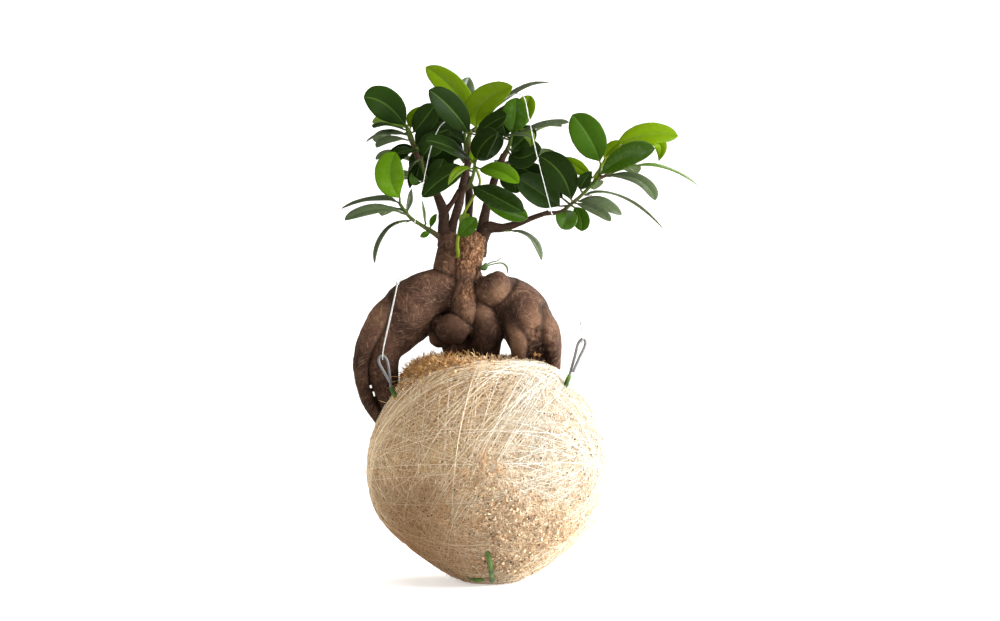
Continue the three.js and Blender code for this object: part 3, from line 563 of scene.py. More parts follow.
bpy.data.meshes.remove(grown)

bark = Finish("ficus_bark")
spot = bark.place()
bark_grain = bark.written("grain", "Vector")
far, round_it, limb_number = bark.parted(bark_grain)
patches = bark.cloud(spot, 60.0, 3.0)
mottle = bark.cloud(spot, 420.0, 4.0, 0.7)
speckle = bark.cloud(spot, 1500.0, 2.0, 0.6)
# Fine wrinkles run round each limb, and two sets of pale scratches cross each other slantwise.
wrinkle = bark.streaks(bark_grain, (1500.0, 110.0, 400.0), 3.0, 0.6)
slanted = bark.node("CombineXYZ", {}, {0: far + round_it, 1: far - round_it, 2: limb_number})
scratch_up = bark.streaks(slanted, (1700.0, 70.0, 400.0), 2.0, 0.5)
scratch_down = bark.streaks(slanted, (75.0, 1700.0, 400.0), 2.0, 0.5)
pale_rings = bark.step(wrinkle, 0.56, 0.68) * bark.step(patches, 0.44, 0.62)
pale_lines = bark.step(scratch_up, 0.60, 0.66) * bark.step(patches, 0.42, 0.60)
cross_lines = bark.step(scratch_down, 0.60, 0.66) * bark.step(patches, 0.60, 0.42)
corky, hollowed = bark.written("cork"), bark.written("hollow")
cork_brown = bark.ramp(
    bark.streaks(spot, (640.0, 640.0, 300.0), 5.0, 0.8),
    (0.36, (0.010, 0.0045, 0.003)), (0.5, (0.100, 0.046, 0.023)), (0.64, (0.34, 0.19, 0.10)),
)
bark.wear(
    Base_Color=bark.coated(
        bark.blend((0.026, 0.0125, 0.008), (0.070, 0.034, 0.021), bark.step(patches, 0.3, 0.72)),
        ((0.115, 0.068, 0.044), bark.step(mottle, 0.5, 0.72) * 0.6),
        ((0.010, 0.006, 0.005), bark.step(mottle, 0.5, 0.3) * 0.6),
        ((0.24, 0.150, 0.092), pale_rings * 0.34),
        ((0.28, 0.180, 0.115), pale_lines * 0.60 + cross_lines * 0.48),
        ((0.23, 0.125, 0.072), bark.written("tan") * (0.45 + 0.5 * mottle)),
        # Painted shade: the bark darkens in the creases where limbs meet.
        ((0.006, 0.004, 0.003), bark.written("crease") * 0.6),
        # Painted shade: the bark is multiplied darker in those patches.
        ((0.30, 0.26, 0.23), bark.written("damp"), "MULTIPLY"),
        ((0.16, 0.085, 0.045), hollowed * 0.5 * bark.step(mottle, 0.52, 0.62)),
        ((0.010, 0.005, 0.004), hollowed * (0.25 + 0.7 * bark.step(mottle, 0.54, 0.40))),
        (cork_brown, corky),
    ),
    Roughness=0.55 + 0.22 * mottle + 0.15 * corky,
    Specular_IOR_Level=0.05,
    Normal=bark.relief(
        wrinkle * 0.6 + scratch_up * 0.4 + scratch_down * 0.4 + mottle * 0.6 + speckle * 0.3
        + corky * mottle * 1.4,
        0.7 * MM,
    ),
)
bark_marks = {
    "grain": grain, "cork": cork, "tan": tan_patch, "crease": crease, "hollow": hollow, "damp": painted_shade_patches,
}
made("root_bark", bark_points, bark_faces, bark.material, "bark", "ficus_wood", marks=bark_marks)

twig_bark = Finish("twig_bark")
spot = twig_bark.place()
twig_mottle = twig_bark.cloud(spot, 380.0, 4.0, 0.65)
twig_rings = twig_bark.streaks(spot, (160.0, 160.0, 900.0), 2.0)
pores = twig_bark.step(twig_bark.dots(spot, 620.0), 0.22, 0.12)
twig_bark.wear(
    Base_Color=twig_bark.coated(
        (0.010, 0.0055, 0.004), ((0.042, 0.023, 0.015), twig_mottle), ((0.12, 0.08, 0.05), pores * 0.5),
    ),
    Roughness=0.55 + 0.2 * twig_mottle,
    Specular_IOR_Level=0.04,
    Normal=twig_bark.relief(twig_rings * 0.7 + twig_mottle * 0.4 + pores * 0.3, 0.4 * MM),
)


def burr(place):
    """How lumpy a branch is at a place on it, as a share of its radius."""
    spot = Vector(place[:3])
    return 0.10 * noise.noise(spot * 260) + 0.12 * max(0, noise.noise(spot * 110))


branch_runs = [smooth(points, 12 * (len(points) - 1)) for points in BRANCHES.values()]
branch_parts = gathered([swept(run, BRANCH_SIDES, [burr(place) for place in run]) for run in branch_runs])
made("branches", *branch_parts, twig_bark.material, "bark", "ficus_wood")

# Soil core
# A ball of moist peat and clay that holds the roots, shaped by hand. It fills the wrap and shows only in the
# mouth at the top, under loose crumbs of coir pith.
soil_finish = Finish("moist_soil")
spot = soil_finish.place()
clods = soil_finish.cloud(spot, 260.0, 5.0, 0.7)
grit = soil_finish.dots(spot, 900.0)
earth = soil_finish.blend((0.020, 0.012, 0.008), (0.085, 0.052, 0.032), clods)
soil_finish.wear(
    Base_Color=soil_finish.blend(earth, (0.16, 0.10, 0.06), soil_finish.step(grit, 0.16, 0.06) * 0.6),
    Roughness=0.85 + 0.1 * clods,
    Normal=soil_finish.relief(clods + grit * 0.5, 1.0 * MM),
)
soil_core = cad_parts["soil_core"]
for seat in soil_core.material_slots:
    seat.material = soil_finish.material

# Coir wrap
# A mat of coir fibre, about 6 mm thick, folded up round the soil ball and trimmed at the top, where its cut
# edge stands up raggedly round the roots. The fibres lie every way, with crumbs of orange pith among them.
BALL_RADIUS, BALL_HALF_HEIGHT, BALL_CENTRE = 75.0, 72.7, 71.3
FLAT_SPOT, MOUTH, BORDER, MOUTH_DEPTH = 14.6, 22.0, 3.0, 3.5
LOWEST, BESIDE_FLAT_SPOT = 0.25, 0.4
DRAWN_HEIGHT, DRAWN_SHARE, DRAWN_ASIDE = 46.0, 0.18, 2.0
SHOULDER_TILT, SHOULDER_WIDTH, SHOULDER_RISE, LEFT_RISE = 36, 12, 2.0, 3.6
rng = np.random.default_rng(7)


def drawn_in(places):
    """The ball's underside, drawn in to a point at its left and right by the hanging wires."""
    share = np.clip(1 - places[..., 2] / DRAWN_HEIGHT, 0, 1)
    share = share * share * (3 - 2 * share)
    places[..., 0] = places[..., 0] * (1 - DRAWN_SHARE * share) + DRAWN_ASIDE * share
    return places


def ball_point(ways, lifts):
    """Points so many millimetres off the ball's surface, in the directions given."""
    places = unit(ways) * (np.array([BALL_RADIUS, BALL_RADIUS, BALL_HALF_HEIGHT]) + lifts[..., None])
    places[..., 2] = np.maximum(places[..., 2] + BALL_CENTRE, LOWEST)
    return drawn_in(places)


def ways_at(tilt, turn):
    """The directions so far from straight up and so far round."""
    flat = np.sin(tilt)
    return np.stack([flat * np.cos(turn), flat * np.sin(turn), np.cos(tilt) + 0 * turn], axis=-1)


def front_way(x, z):
    """The direction from the ball's middle to the place on its front at x and z."""
    up = (z - BALL_CENTRE) / BALL_HALF_HEIGHT
    side = x / BALL_RADIUS
    return np.array([side, -math.sqrt(max(1 - up * up - side * side, 0.0)), up])


def shoulder(ways):
    """How far the mat's cut edge stands proud round the roots, in millimetres: most on the left."""
    tilt = np.degrees(np.arccos(np.clip(ways[..., 2], -1, 1)))
    left = 0.5 - 0.5 * ways[..., 0] / np.maximum(np.hypot(ways[..., 0], ways[..., 1]), 1e-6)
    return np.exp(-(((tilt - SHOULDER_TILT) / SHOULDER_WIDTH) ** 2)) * (SHOULDER_RISE + LEFT_RISE * left**1.5)


def close_to(ways, x, z, reach):
    """1 at the place on the front at x and z, and less the farther a direction is from it."""
    return np.exp(-((ways - front_way(x, z)) ** 2).sum(axis=-1) / reach)


# Where the pith lies thickest on the front: x, z, how far it spreads and how thickly it lies.
PITH_BEDS = [
    (14, 42, 0.16, 1.0), (34, 34, 0.10, 1.0), (58, 62, 0.06, 0.6), (-30, 50, 0.08, 0.4), (50, 104, 0.05, 0.4),
    (-4, 66, 0.08, 0.7), (10, 16, 0.10, 0.9), (-46, 74, 0.03, 0.4),
]
MAT_ROWS, MAT_TURNS, PITH_RISE = 150, 260, 3.6


def pith_at(ways):
    """How thickly the pith lies in each direction from the ball's middle, from 0 to 1."""
    return np.max([share * close_to(ways, x, z, reach) for x, z, reach, share in PITH_BEDS], axis=0)


def coir_skin():
    """The mat's lumpy surface, sunk in at the mouth, and how thickly the pith lies at each of its points."""
    tilts = np.linspace(0, math.pi, MAT_ROWS + 1)[:, None]
    ways = ways_at(tilts, np.arange(MAT_TURNS) * 2 * math.pi / MAT_TURNS)
    bedded, proud = pith_at(ways).ravel(), shoulder(ways).ravel()
    points = []
    for way, pithy, edge in zip(ways.reshape(-1, 3), bedded, proud):
        near = Vector(way) * BALL_RADIUS * MM
        lift = 0.9 * noise.noise(near * 60) + 0.7 * noise.noise(near * 190) + 0.5 * noise.noise(near * 520)
        lift += edge * (0.75 + 0.5 * noise.noise(near * 300))
        lift += PITH_RISE * pithy * abs(noise.noise(near * 330) + 0.6 * noise.noise(near * 700))
        x, y = way[:2] * (BALL_RADIUS + lift)
        z = BALL_CENTRE + way[2] * (BALL_HALF_HEIGHT + lift)
        from_axis = math.hypot(x, y)
        if way[2] > 0 and from_axis < MOUTH + BORDER:
            z -= MOUTH_DEPTH * min(1.0, (MOUTH + BORDER - from_axis) / (2 * BORDER))
        points.append((x, y, max(z, LOWEST if from_axis < FLAT_SPOT + BORDER else BESIDE_FLAT_SPOT)))
    return drawn_in(np.array(points)) * MM, turned_over(net(MAT_ROWS + 1, MAT_TURNS)), bedded


def painted_shade_and_light(finish, colour):
    """Painted shade and light on the ball: painted shade low on its left and underneath, a warmer painted
    shade all down that side, and painted light, paler and cooler, on its right.
    """
    side_of, _, height_of = finish.parted(finish.place())
    low_left = finish.step(height_of, 0.085, 0.045) * finish.step(side_of, 0.012, -0.050) * 0.85
    low_left = low_left * finish.step(side_of, -0.085, -0.048)
    underneath = finish.step(height_of, 0.050, 0.020) * finish.step(side_of, 0.030, -0.020) * 0.6
    unshaded = (1.0 - low_left) * (1.0 - underneath)
    colour = finish.blend(colour, (0.44, 0.31, 0.19), 1.0 - unshaded, "MULTIPLY")
    colour = finish.blend(colour, (1.0, 0.94, 0.84), finish.step(side_of, 0.010, -0.040), "MULTIPLY")
    painted_right_light = finish.step(side_of, -0.005, 0.030) * finish.step(height_of, 0.035, 0.080)
    return finish.blend(colour, (0.96, 1.07, 1.25), painted_right_light, "MULTIPLY")


coir = Finish("coir_mat")
spot = coir.place()
straw_a = coir.streaks(spot, (260.0, 900.0, 1600.0), 3.0, 0.65)
straw_b = coir.streaks(spot, (1500.0, 700.0, 300.0), 3.0, 0.65)
fleck = coir.cloud(spot, 640.0, 3.0, 0.7)
pit = coir.dots(spot, 520.0)
side_of, _, height_of = coir.parted(spot)
golden = coir.step(height_of, 0.107, 0.128) * coir.step(side_of, -0.005, -0.045)
golden = golden + coir.step(height_of, 0.140, 0.144)
straw = coir.coated(
    (0.18, 0.102, 0.044),
    ((0.62, 0.470, 0.300), coir.step(straw_a * 0.5 + straw_b * 0.5, 0.34, 0.66)),
    ((0.64, 0.50, 0.33), coir.step(coir.cloud(spot, 95.0), 0.45, 0.7) * 0.5),
    ((0.44, 0.22, 0.08), coir.step(coir.cloud(spot, 210.0, 4.0, 0.75), 0.52, 0.62) * 0.7),
    ((0.075, 0.036, 0.014), coir.step(pit, 0.38, 0.22) * coir.step(fleck, 0.42, 0.54) * 0.95),
    ((0.36, 0.185, 0.065), golden * (0.45 + 0.4 * fleck)),
    ((0.29, 0.175, 0.085), coir.written("pith") * coir.step(fleck, 0.56, 0.40) * 0.9),
)
# The mat's colour gets the ball's painted shade and light.
coir.wear(
    Base_Color=painted_shade_and_light(coir, straw),
    Roughness=0.85 + 0.1 * fleck,
    Normal=coir.relief(straw_a + straw_b + fleck * 1.2 - coir.step(pit, 0.3, 0.05) * 0.7, 1.5 * MM),
)
points, faces, pith_marks = coir_skin()
made("coir_mat", points, faces, coir.material, "coir", "coir_wrap", marks={"pith": pith_marks})

FIBRE_SIDES, FIBRE_TIP, FIBRE_BEND = 3, 0.35, 0.3
LYING_PLACES, STANDING_PLACES = 6, 5


def strands(name, centres, ups, radii, finish, node_slot, *nodes):
    """A piece of many thin fibres. Centres is (fibres, places, 3) in millimetres, ups how each is turned."""
    count, places, _ = centres.shape
    centres = centres * MM
    along = unit(np.gradient(centres, axis=1))
    across = unit(np.cross(along, ups))
    above = np.cross(across, along)
    taper = np.ones(places)
    taper[[0, -1]] = FIBRE_TIP
    reach = (rng.uniform(*radii, count)[:, None] * MM * taper)[..., None]
    turns = 2 * math.pi * np.arange(FIBRE_SIDES) / FIBRE_SIDES + math.pi / 2
    rings = [centres + (across * math.cos(turn) + above * math.sin(turn)) * reach for turn in turns]
    points = np.stack(rings, axis=2).reshape(-1, 3)
    one = np.array(net(places, FIBRE_SIDES))
    faces = one[None] + (np.arange(count) * places * FIBRE_SIDES)[:, None, None]
    made(name, points, faces.reshape(-1, 4), finish.material, node_slot, *nodes)


def ball_ways(count, low, high):
    """Random directions, evenly over the ball between two heights."""
    up = rng.uniform(low, high, count)
    turn = rng.uniform(0, 2 * math.pi, count)
    flat = np.sqrt(1 - up * up)
    return np.stack([flat * np.cos(turn), flat * np.sin(turn), up], axis=1)


def headings(ways):
    """A random direction along the surface at each place."""
    sideways = rng.normal(size=ways.shape)
    return unit(sideways - ways * (sideways * ways).sum(axis=1, keepdims=True))


def lying(ways, heads, lengths, lifts):
    """Fibres that lie along the ball from each place, bent a little sideways, their ends pressed in."""
    share = np.linspace(-0.5, 0.5, LYING_PLACES)
    beside = np.cross(ways, heads)
    curl = rng.normal(0, FIBRE_BEND, len(ways))
    sweep = (lengths / BALL_RADIUS)[:, None] * share
    path = ways[:, None] + heads[:, None] * sweep[..., None]
    path = unit(path + beside[:, None] * (curl[:, None] * sweep**2 * 6)[..., None])
    lift = lifts[:, None] * (1 - 3.2 * share**2)
    return ball_point(path, lift + shoulder(path)), path


coir_fibre = Finish("coir_fibre")
fibre_tone = coir_fibre.each_its_own(
    (0.0, (0.20, 0.100, 0.036)), (0.2, (0.35, 0.225, 0.110)), (0.5, (0.51, 0.375, 0.225)),
    (0.85, (0.66, 0.54, 0.37)), (1.0, (0.36, 0.185, 0.065)),
)
fibre_dirt = coir_fibre.cloud(coir_fibre.place(), 900.0, 2.0)
fibre_tone = coir_fibre.blend(fibre_tone, (0.22, 0.11, 0.045), coir_fibre.step(fibre_dirt, 0.55, 0.75) * 0.6)
# The fibres get the ball's painted shade and light.
coir_fibre.wear(Base_Color=painted_shade_and_light(coir_fibre, fibre_tone), Roughness=0.7 + 0.2 * fibre_dirt)
FIBRES = 4200
ways = ball_ways(FIBRES, -0.985, 0.93)
laid = lying(ways, headings(ways), rng.uniform(5, 17, FIBRES), rng.uniform(0.5, 1.3, FIBRES))
strands("coir_fibres", *laid, (0.10, 0.19), coir_fibre, "coir")

# The cut edge of the mat: short curled fibres that stand up round the roots, golden brown.
edge_fibre = Finish("coir_cut_edge")
edge_tone = edge_fibre.each_its_own(
    (0.0, (0.15, 0.058, 0.013)), (0.45, (0.33, 0.155, 0.042)), (0.8, (0.50, 0.29, 0.105)),
    (1.0, (0.66, 0.47, 0.23)),
)
edge_fibre.wear(Base_Color=edge_tone, Roughness=0.75 + 0.2 * edge_fibre.cloud(edge_fibre.place(), 800.0))


def standing(ways, lengths, lean):
    """Short fibres that stand out of the mat, each leaning and curling its own way."""
    share = np.linspace(0, 1, STANDING_PLACES)
    heads = headings(ways)
    curl = headings(ways)
    base = ball_point(ways, shoulder(ways) - 0.6)
    rise = ways * np.cos(lean)[:, None] + heads * np.sin(lean)[:, None]
    path = base[:, None] + rise[:, None] * (lengths[:, None] * share)[..., None]
    path = path + curl[:, None] * (lengths[:, None] * 0.45 * share**2)[..., None]
    return path, np.repeat(heads[:, None], STANDING_PLACES, axis=1)


EDGE_FIBRES, EDGE_TILT, EDGE_SPREAD = 6200, 32, 8
tilts = np.radians(np.clip(rng.normal(EDGE_TILT, EDGE_SPREAD, EDGE_FIBRES), 12, 56))
turns = rng.uniform(0, 2 * math.pi, EDGE_FIBRES)
ways, lefts = ways_at(tilts, turns), 0.5 - 0.5 * np.cos(turns)
on_the_rim = np.clip((np.radians(24) - tilts) / 0.1, 0, 1)
keep = rng.uniform(size=EDGE_FIBRES) < np.maximum(0.03 + 0.97 * lefts**3, 0.45 * on_the_rim)
ways, lefts = ways[keep], lefts[keep]
lengths = rng.uniform(1.4, 5.4, len(ways)) * (0.6 + 0.85 * lefts)
laid = standing(ways, lengths, rng.uniform(0.2, 1.35, len(ways)))
strands("coir_cut_edge", *laid, (0.11, 0.26), edge_fibre, "coir")

# Loose ends of fibre stand out all over the mat, longest low down on the left and right.
LOOSE_ENDS = 3600
ways = ball_ways(LOOSE_ENDS, -0.95, 0.8)
low_down = close_to(ways, 44, 20, 0.2) + close_to(ways, -50, 22, 0.2)
lengths = rng.uniform(0.8, 2.6, LOOSE_ENDS) * (1 + 1.9 * low_down)
laid = standing(ways, lengths, rng.uniform(0.5, 1.4, LOOSE_ENDS))
strands("coir_loose_ends", *laid, (0.06, 0.13), coir_fibre, "coir")

# Crumbs of pith caught in the mat: small irregular grains, thickest low on the front and round the mouth.
crumb_finish = Finish("coir_pith")
crumb_tone = crumb_finish.each_its_own(
    (0.0, (0.030, 0.014, 0.006)), (0.10, (0.06, 0.028, 0.012)), (0.17, (0.24, 0.125, 0.055)),
    (0.4, (0.36, 0.23, 0.12)), (0.75, (0.50, 0.375, 0.235)), (1.0, (0.64, 0.53, 0.37)),
)
crumb_grain = crumb_finish.cloud(crumb_finish.place(), 1400.0)
crumb_stain = crumb_finish.step(crumb_grain, 0.5, 0.8) * 0.4
crumb_tone = crumb_finish.blend(crumb_tone, (0.18, 0.085, 0.03), crumb_stain)
# The crumbs get the ball's painted shade and light.
crumb_finish.wear(Base_Color=painted_shade_and_light(crumb_finish, crumb_tone), Roughness=0.8 + 0.15 * crumb_grain)


def strewn(name, ways, sizes, lifts, finish):
    """Small lumps with eight faces, each pulled out of true."""
    corners = np.array([(1, 0, 0), (-1, 0, 0), (0, 1, 0), (0, -1, 0), (0, 0, 1), (0, 0, -1)], float)
    sides = np.array([(0, 2, 4), (2, 1, 4), (1, 3, 4), (3, 0, 4), (2, 0, 5), (1, 2, 5), (3, 1, 5), (0, 3, 5)])
    middles = ball_point(ways, lifts + shoulder(ways)) * MM
    pulled = corners[None] * rng.uniform(0.45, 1.35, (len(ways), 6, 1))
    pulled = pulled + rng.normal(0, 0.22, (len(ways), 6, 3))
    points = middles[:, None] + pulled * sizes[:, None, None] * MM
    faces = sides[None] + (np.arange(len(ways)) * 6)[:, None, None]
    made(name, points.reshape(-1, 3), faces.reshape(-1, 3), finish.material, "coir", smooth_skin=False)


CRUMBS = 24000
ways = ball_ways(CRUMBS, -0.97, 0.97)
thickly = pith_at(ways)
round_mouth = np.clip((ways[:, 2] - 0.80) / 0.12, 0, 1)
keep = rng.uniform(size=CRUMBS) < np.maximum(0.10 + 0.62 * thickly, 0.5 * round_mouth)
ways, thickly = ways[keep], thickly[keep]
sizes = rng.uniform(0.22, 0.52, len(ways)) * (1 + 1.9 * thickly * rng.uniform(size=len(ways)) ** 1.8)
lifts = rng.uniform(0.3, 1.6, len(ways)) + 1.6 * np.sqrt(thickly) * rng.uniform(size=len(ways))
strewn("coir_pith", ways, sizes, lifts, crumb_finish)

# Coarse golden chips stick out of the cut edge, most on the left.
CHIPS, CHIP_TILT, CHIP_SPREAD = 2600, 31, 7
turns = rng.uniform(0, 2 * math.pi, CHIPS)
tilts = np.radians(rng.normal(CHIP_TILT, CHIP_SPREAD, CHIPS) + 5 * np.clip(-np.cos(turns), 0, 1) ** 2)
keep = rng.uniform(size=CHIPS) < 0.02 + 0.98 * (0.5 - 0.5 * np.cos(turns)) ** 3
ways = ways_at(tilts, turns)[keep]
strewn("coir_chips", ways, rng.uniform(0.4, 1.25, len(ways)), rng.uniform(-0.6, 1.8, len(ways)), edge_fibre)

# A heap of bright crumbs lies at the rim beside the right foot, and more lie in the mouth.
HEAP = 110
ways = front_way(27, 139) + rng.normal(0, (0.05, 0.03, 0.02), (HEAP, 3))
strewn("coir_pith_heap", ways, rng.uniform(0.7, 1.6, HEAP), rng.uniform(1.5, 5.0, HEAP), edge_fibre)
IN_MOUTH = 900
turns, reach = rng.uniform(0, 2 * math.pi, IN_MOUTH), np.sqrt(rng.uniform(0, 1, IN_MOUTH)) * 0.36
ways = unit(np.stack([reach * np.cos(turns), reach * np.sin(turns), np.ones(IN_MOUTH)], axis=1))
sizes = rng.uniform(0.5, 1.5, IN_MOUTH)
strewn("coir_pith_in_mouth", ways, sizes, rng.uniform(-3.6, -1.2, IN_MOUTH), crumb_finish)

# Thread winding
# Cream cotton and nylon thread, 0.1 to 0.25 mm thick, wound tightly round the ball by hand in hundreds of
# turns. It lies in bundles that cross each other, keeps off the mouth and holds by its own pull.
thread = Finish("cream_thread")
thread_tone = thread.each_its_own(
    (0.0, (0.38, 0.255, 0.13)), (0.35, (0.56, 0.43, 0.265)), (0.7, (0.75, 0.66, 0.49)),
    (1.0, (0.94, 0.91, 0.84)),
)
thread_fuzz = thread.cloud(thread.place(), 1100.0, 2.0)
thread_tone = thread.blend(thread_tone, (0.40, 0.26, 0.13), thread.step(thread_fuzz, 0.52, 0.7) * 0.5)
# The thread gets the ball's painted shade and light.
thread.wear(Base_Color=painted_shade_and_light(thread, thread_tone), Roughness=0.42 + 0.3 * thread_fuzz)
THREAD_PLACES, WAVER = 34, 0.004
BRINK, BRINK_RISE, DIP, TUCKED_IN, HIDDEN = 0.73, 0.17, 5.5, 1.6, 1.3


def wound(starts, ends, run_on):
    """The ways of threads on great circles from start to end and on past them, each wavering a little."""
    starts = unit(starts)
    toward = unit(ends - starts * (ends * starts).sum(axis=1, keepdims=True))
    span = np.arccos(np.clip((starts * unit(ends)).sum(axis=1), -1, 1))
    share = np.linspace(0, 1, THREAD_PLACES)
    angle = -run_on[:, None] + (span + 2 * run_on)[:, None] * share
    wave = np.sin(angle * rng.uniform(2, 5, (len(starts), 1)) + rng.uniform(0, 6.3, (len(starts), 1)))
    path = starts[:, None] * np.cos(angle)[..., None] + toward[:, None] * np.sin(angle)[..., None]
    return unit(path + np.cross(starts, toward)[:, None] * (wave * WAVER)[..., None])


def lay_threads(name, starts, ends, run_on, heights, radii, *nodes):
    """Threads wound that way. They dip into the mat short of the mouth, and thick pith hides most of them."""
    heights = rng.uniform(*heights, (len(starts), 1))
    path = wound(starts, ends, run_on)
    brink = BRINK + BRINK_RISE * np.clip((path[..., 0] + 0.55) / 0.5, 0, 1)
    dipped = DIP * np.clip((path[..., 2] - brink) / 0.06, 0, 1)
    lifts = heights + shoulder(path) - dipped - HIDDEN * pith_at(path)
    lifts[:, [0, -1]] -= TUCKED_IN
    strands(name, ball_point(path, lifts), path, radii, thread, "thread", *nodes)


# Each bundle passes two places on the front, as x, z and x, z. Then its turns, width and how far it runs on.
BUNDLES = [
    (-16, 59, 17, 123, 21, 0.10, 0.9), (-26, 40, 30, 118, 16, 0.12, 1.2), (-8, 86, 47, 130, 19, 0.10, 0.8),
    (-30, 95, 40, 132, 15, 0.10, 0.9), (-49, 111, 11, 136, 16, 0.09, 0.7), (-71, 72, -20, 64, 17, 0.17, 1.0),
    (-60, 88, 60, 80, 15, 0.20, 1.4), (-38, 111, -38, 58, 11, 0.12, 1.0), (-12, 118, -22, 40, 14, 0.10, 1.3),
    (-60, 51, 20, 60, 16, 0.10, 0.8), (-64, 44, 10, 30, 16, 0.12, 0.9), (-8, 78, 36, 54, 12, 0.10, 0.9),
    (-45, 60, 4, 27, 15, 0.13, 0.5), (-35, 38, 4, 27, 12, 0.13, 0.5), (4, 27, 40, 40, 12, 0.14, 0.7),
    (20, 12, 58, 36, 16, 0.10, 0.6), (40, 120, 66, 70, 15, 0.12, 1.1), (25, 128, 30, 60, 11, 0.12, 1.0),
    (-66, 92, -30, 122, 16, 0.10, 0.6), (-20, 20, 60, 60, 12, 0.14, 1.0), (6, 97, 64, 96, 10, 0.16, 0.3),
    (8, 90, 66, 72, 10, 0.15, 0.3),
]
FULLER = 1.25
starts, ends, run_on = [], [], []
for x1, z1, x2, z2, turns_laid, spread, past in BUNDLES:
    for _ in range(int(FULLER * turns_laid)):
        starts.append(front_way(x1, z1) + rng.normal(0, spread, 3) * (0.4 + rng.uniform()))
        ends.append(front_way(x2, z2) + rng.normal(0, spread, 3) * (0.4 + rng.uniform()))
        run_on.append(past * rng.uniform(0.6, 1.3))
bundled = np.array(starts), np.array(ends), np.array(run_on)
lay_threads("thread_bundles", *bundled, (0.75, 1.7), (0.06, 0.125), "thread_winding")

# Turns laid every way round the whole ball, so that its back and sides are bound like its front.
AROUND, BEND_ON = 560, 1.2
starts = ball_ways(AROUND, -0.9, 0.78)
ends = starts * math.cos(BEND_ON) + headings(starts) * math.sin(BEND_ON)
lay_threads("thread_crossings", starts, ends, rng.uniform(0.2, 1.2, AROUND), (0.6, 1.5), (0.055, 0.105))

# Hanging wires
# Two galvanised wires, 1.7 mm thick, in a green plastic coat 3 mm across. Each is pushed down through the
# ball, bent over under it and pushed back in. At the top the coat is stripped and the wire bent to an eye.
wire_finish = Finish("galvanised_wire")
spot = wire_finish.place()
zinc = wire_finish.cloud(spot, 1300.0, 3.0, 0.7)
drawn = wire_finish.streaks(spot, (2600.0, 2600.0, 240.0), 2.0)
wire_finish.wear(
    Base_Color=wire_finish.blend((0.05, 0.048, 0.05), (0.17, 0.165, 0.165), zinc),
    Metallic=0.3,
    Specular_IOR_Level=0.15,
    Roughness=0.40 + 0.25 * drawn,
    Normal=wire_finish.relief(drawn + zinc, 0.06 * MM),
)
coat_finish = Finish("green_wire_coat")
spot = coat_finish.place()
scuff = coat_finish.cloud(spot, 900.0, 4.0, 0.7)
chalk = coat_finish.cloud(spot, 220.0, 2.0)
coat_finish.wear(
    Base_Color=coat_finish.blend(
        (0.012, 0.036, 0.003), (0.062, 0.118, 0.014), coat_finish.step(chalk, 0.35, 0.75),
    ),
    Roughness=0.32 + 0.3 * scuff,
    Specular_IOR_Level=0.2,
    Normal=coat_finish.relief(scuff, 0.12 * MM),
)


def under_ball(x, y, lift):
    """The place under the ball at x and y, so far off its surface."""
    share = 1 - (x * x + y * y) / (BALL_RADIUS + lift) ** 2
    return (x, y, BALL_CENTRE - (BALL_HALF_HEIGHT + lift) * math.sqrt(share))


def front_ball(x, z, lift):
    """The place on the ball's front at x and z, so far off its surface."""
    share = 1 - ((z - BALL_CENTRE) / (BALL_HALF_HEIGHT + lift)) ** 2
    return (x, -math.sqrt((BALL_RADIUS + lift) ** 2 * share - x * x), z)


WIRES = {
    "left": [
        (-60.8, -22.6, 126), (-64.5, -22.2, 132.5), (-67.6, -21.6, 138.5), (-67.3, -21.2, 141.3),
        (-65.3, -21, 142.3), (-63, -20.8, 140.3), (-61.6, -20.7, 135), (-60.7, -20.6, 128), (-60, -20.6, 122),
        (-57.8, -20.8, 118),
    ],
    "right": [
        (52.8, -28.8, 132.5), (56.6, -28.2, 141), (60.2, -27.6, 148.8), (60.3, -27.2, 151.5),
        (58.6, -27, 152.7), (56.3, -27, 150.5), (53.9, -27, 142), (51.8, -27, 134.5), (50.6, -27, 130),
        (49, -26.8, 126),
    ],
}
COATS = {
    "left": [
        (-60.2, -20.6, 122.6), (-56, -21, 114.5), (-44, -20, 92), (-20, -15, 48), (-1, -18, 16),
        under_ball(1, -27.5, 0), under_ball(1.2, -32, 1.6), under_ball(1, -38, 1.75),
        under_ball(0.5, -45, 1.75), front_ball(0, 18.5, 1.7), front_ball(-1, 23.5, 0.6),
        front_ball(-1.5, 25.5, -3),
    ],
    "right": [
        (50.8, -27, 130.6), (47, -26.3, 121), (38, -22, 98), (14, -6, 50), (-14, -14, 16),
        under_ball(-24, -20, -3), under_ball(-23, -24.5, -2), under_ball(-18, -28, -0.6),
        under_ball(-11, -31, 1.5), under_ball(-6, -31.5, 0.3), under_ball(-3, -30, -3),
    ],
}
WIRE_RADIUS, WIRE_SIDES = 0.85, 12
COAT_RADIUS, COAT_SIDES, CUT_END = 1.5, 14, (0.72, 0.94, 1.0)
for side, places in WIRES.items():
    run = smooth([(*p, WIRE_RADIUS) for p in places], 110)
    made(f"wire_eye_{side}", *swept(run, WIRE_SIDES), wire_finish.material, "wire", f"hanger_wire_{side}")
for side, places in COATS.items():
    run = smooth([(*p, COAT_RADIUS) for p in places], 120)
    run[:3, 3] *= CUT_END
    run[:, :3] = drawn_in(run[:, :3] / MM) * MM
    made(f"wire_coat_{side}", *swept(run, COAT_SIDES), coat_finish.material, "coat", f"hanger_coat_{side}")

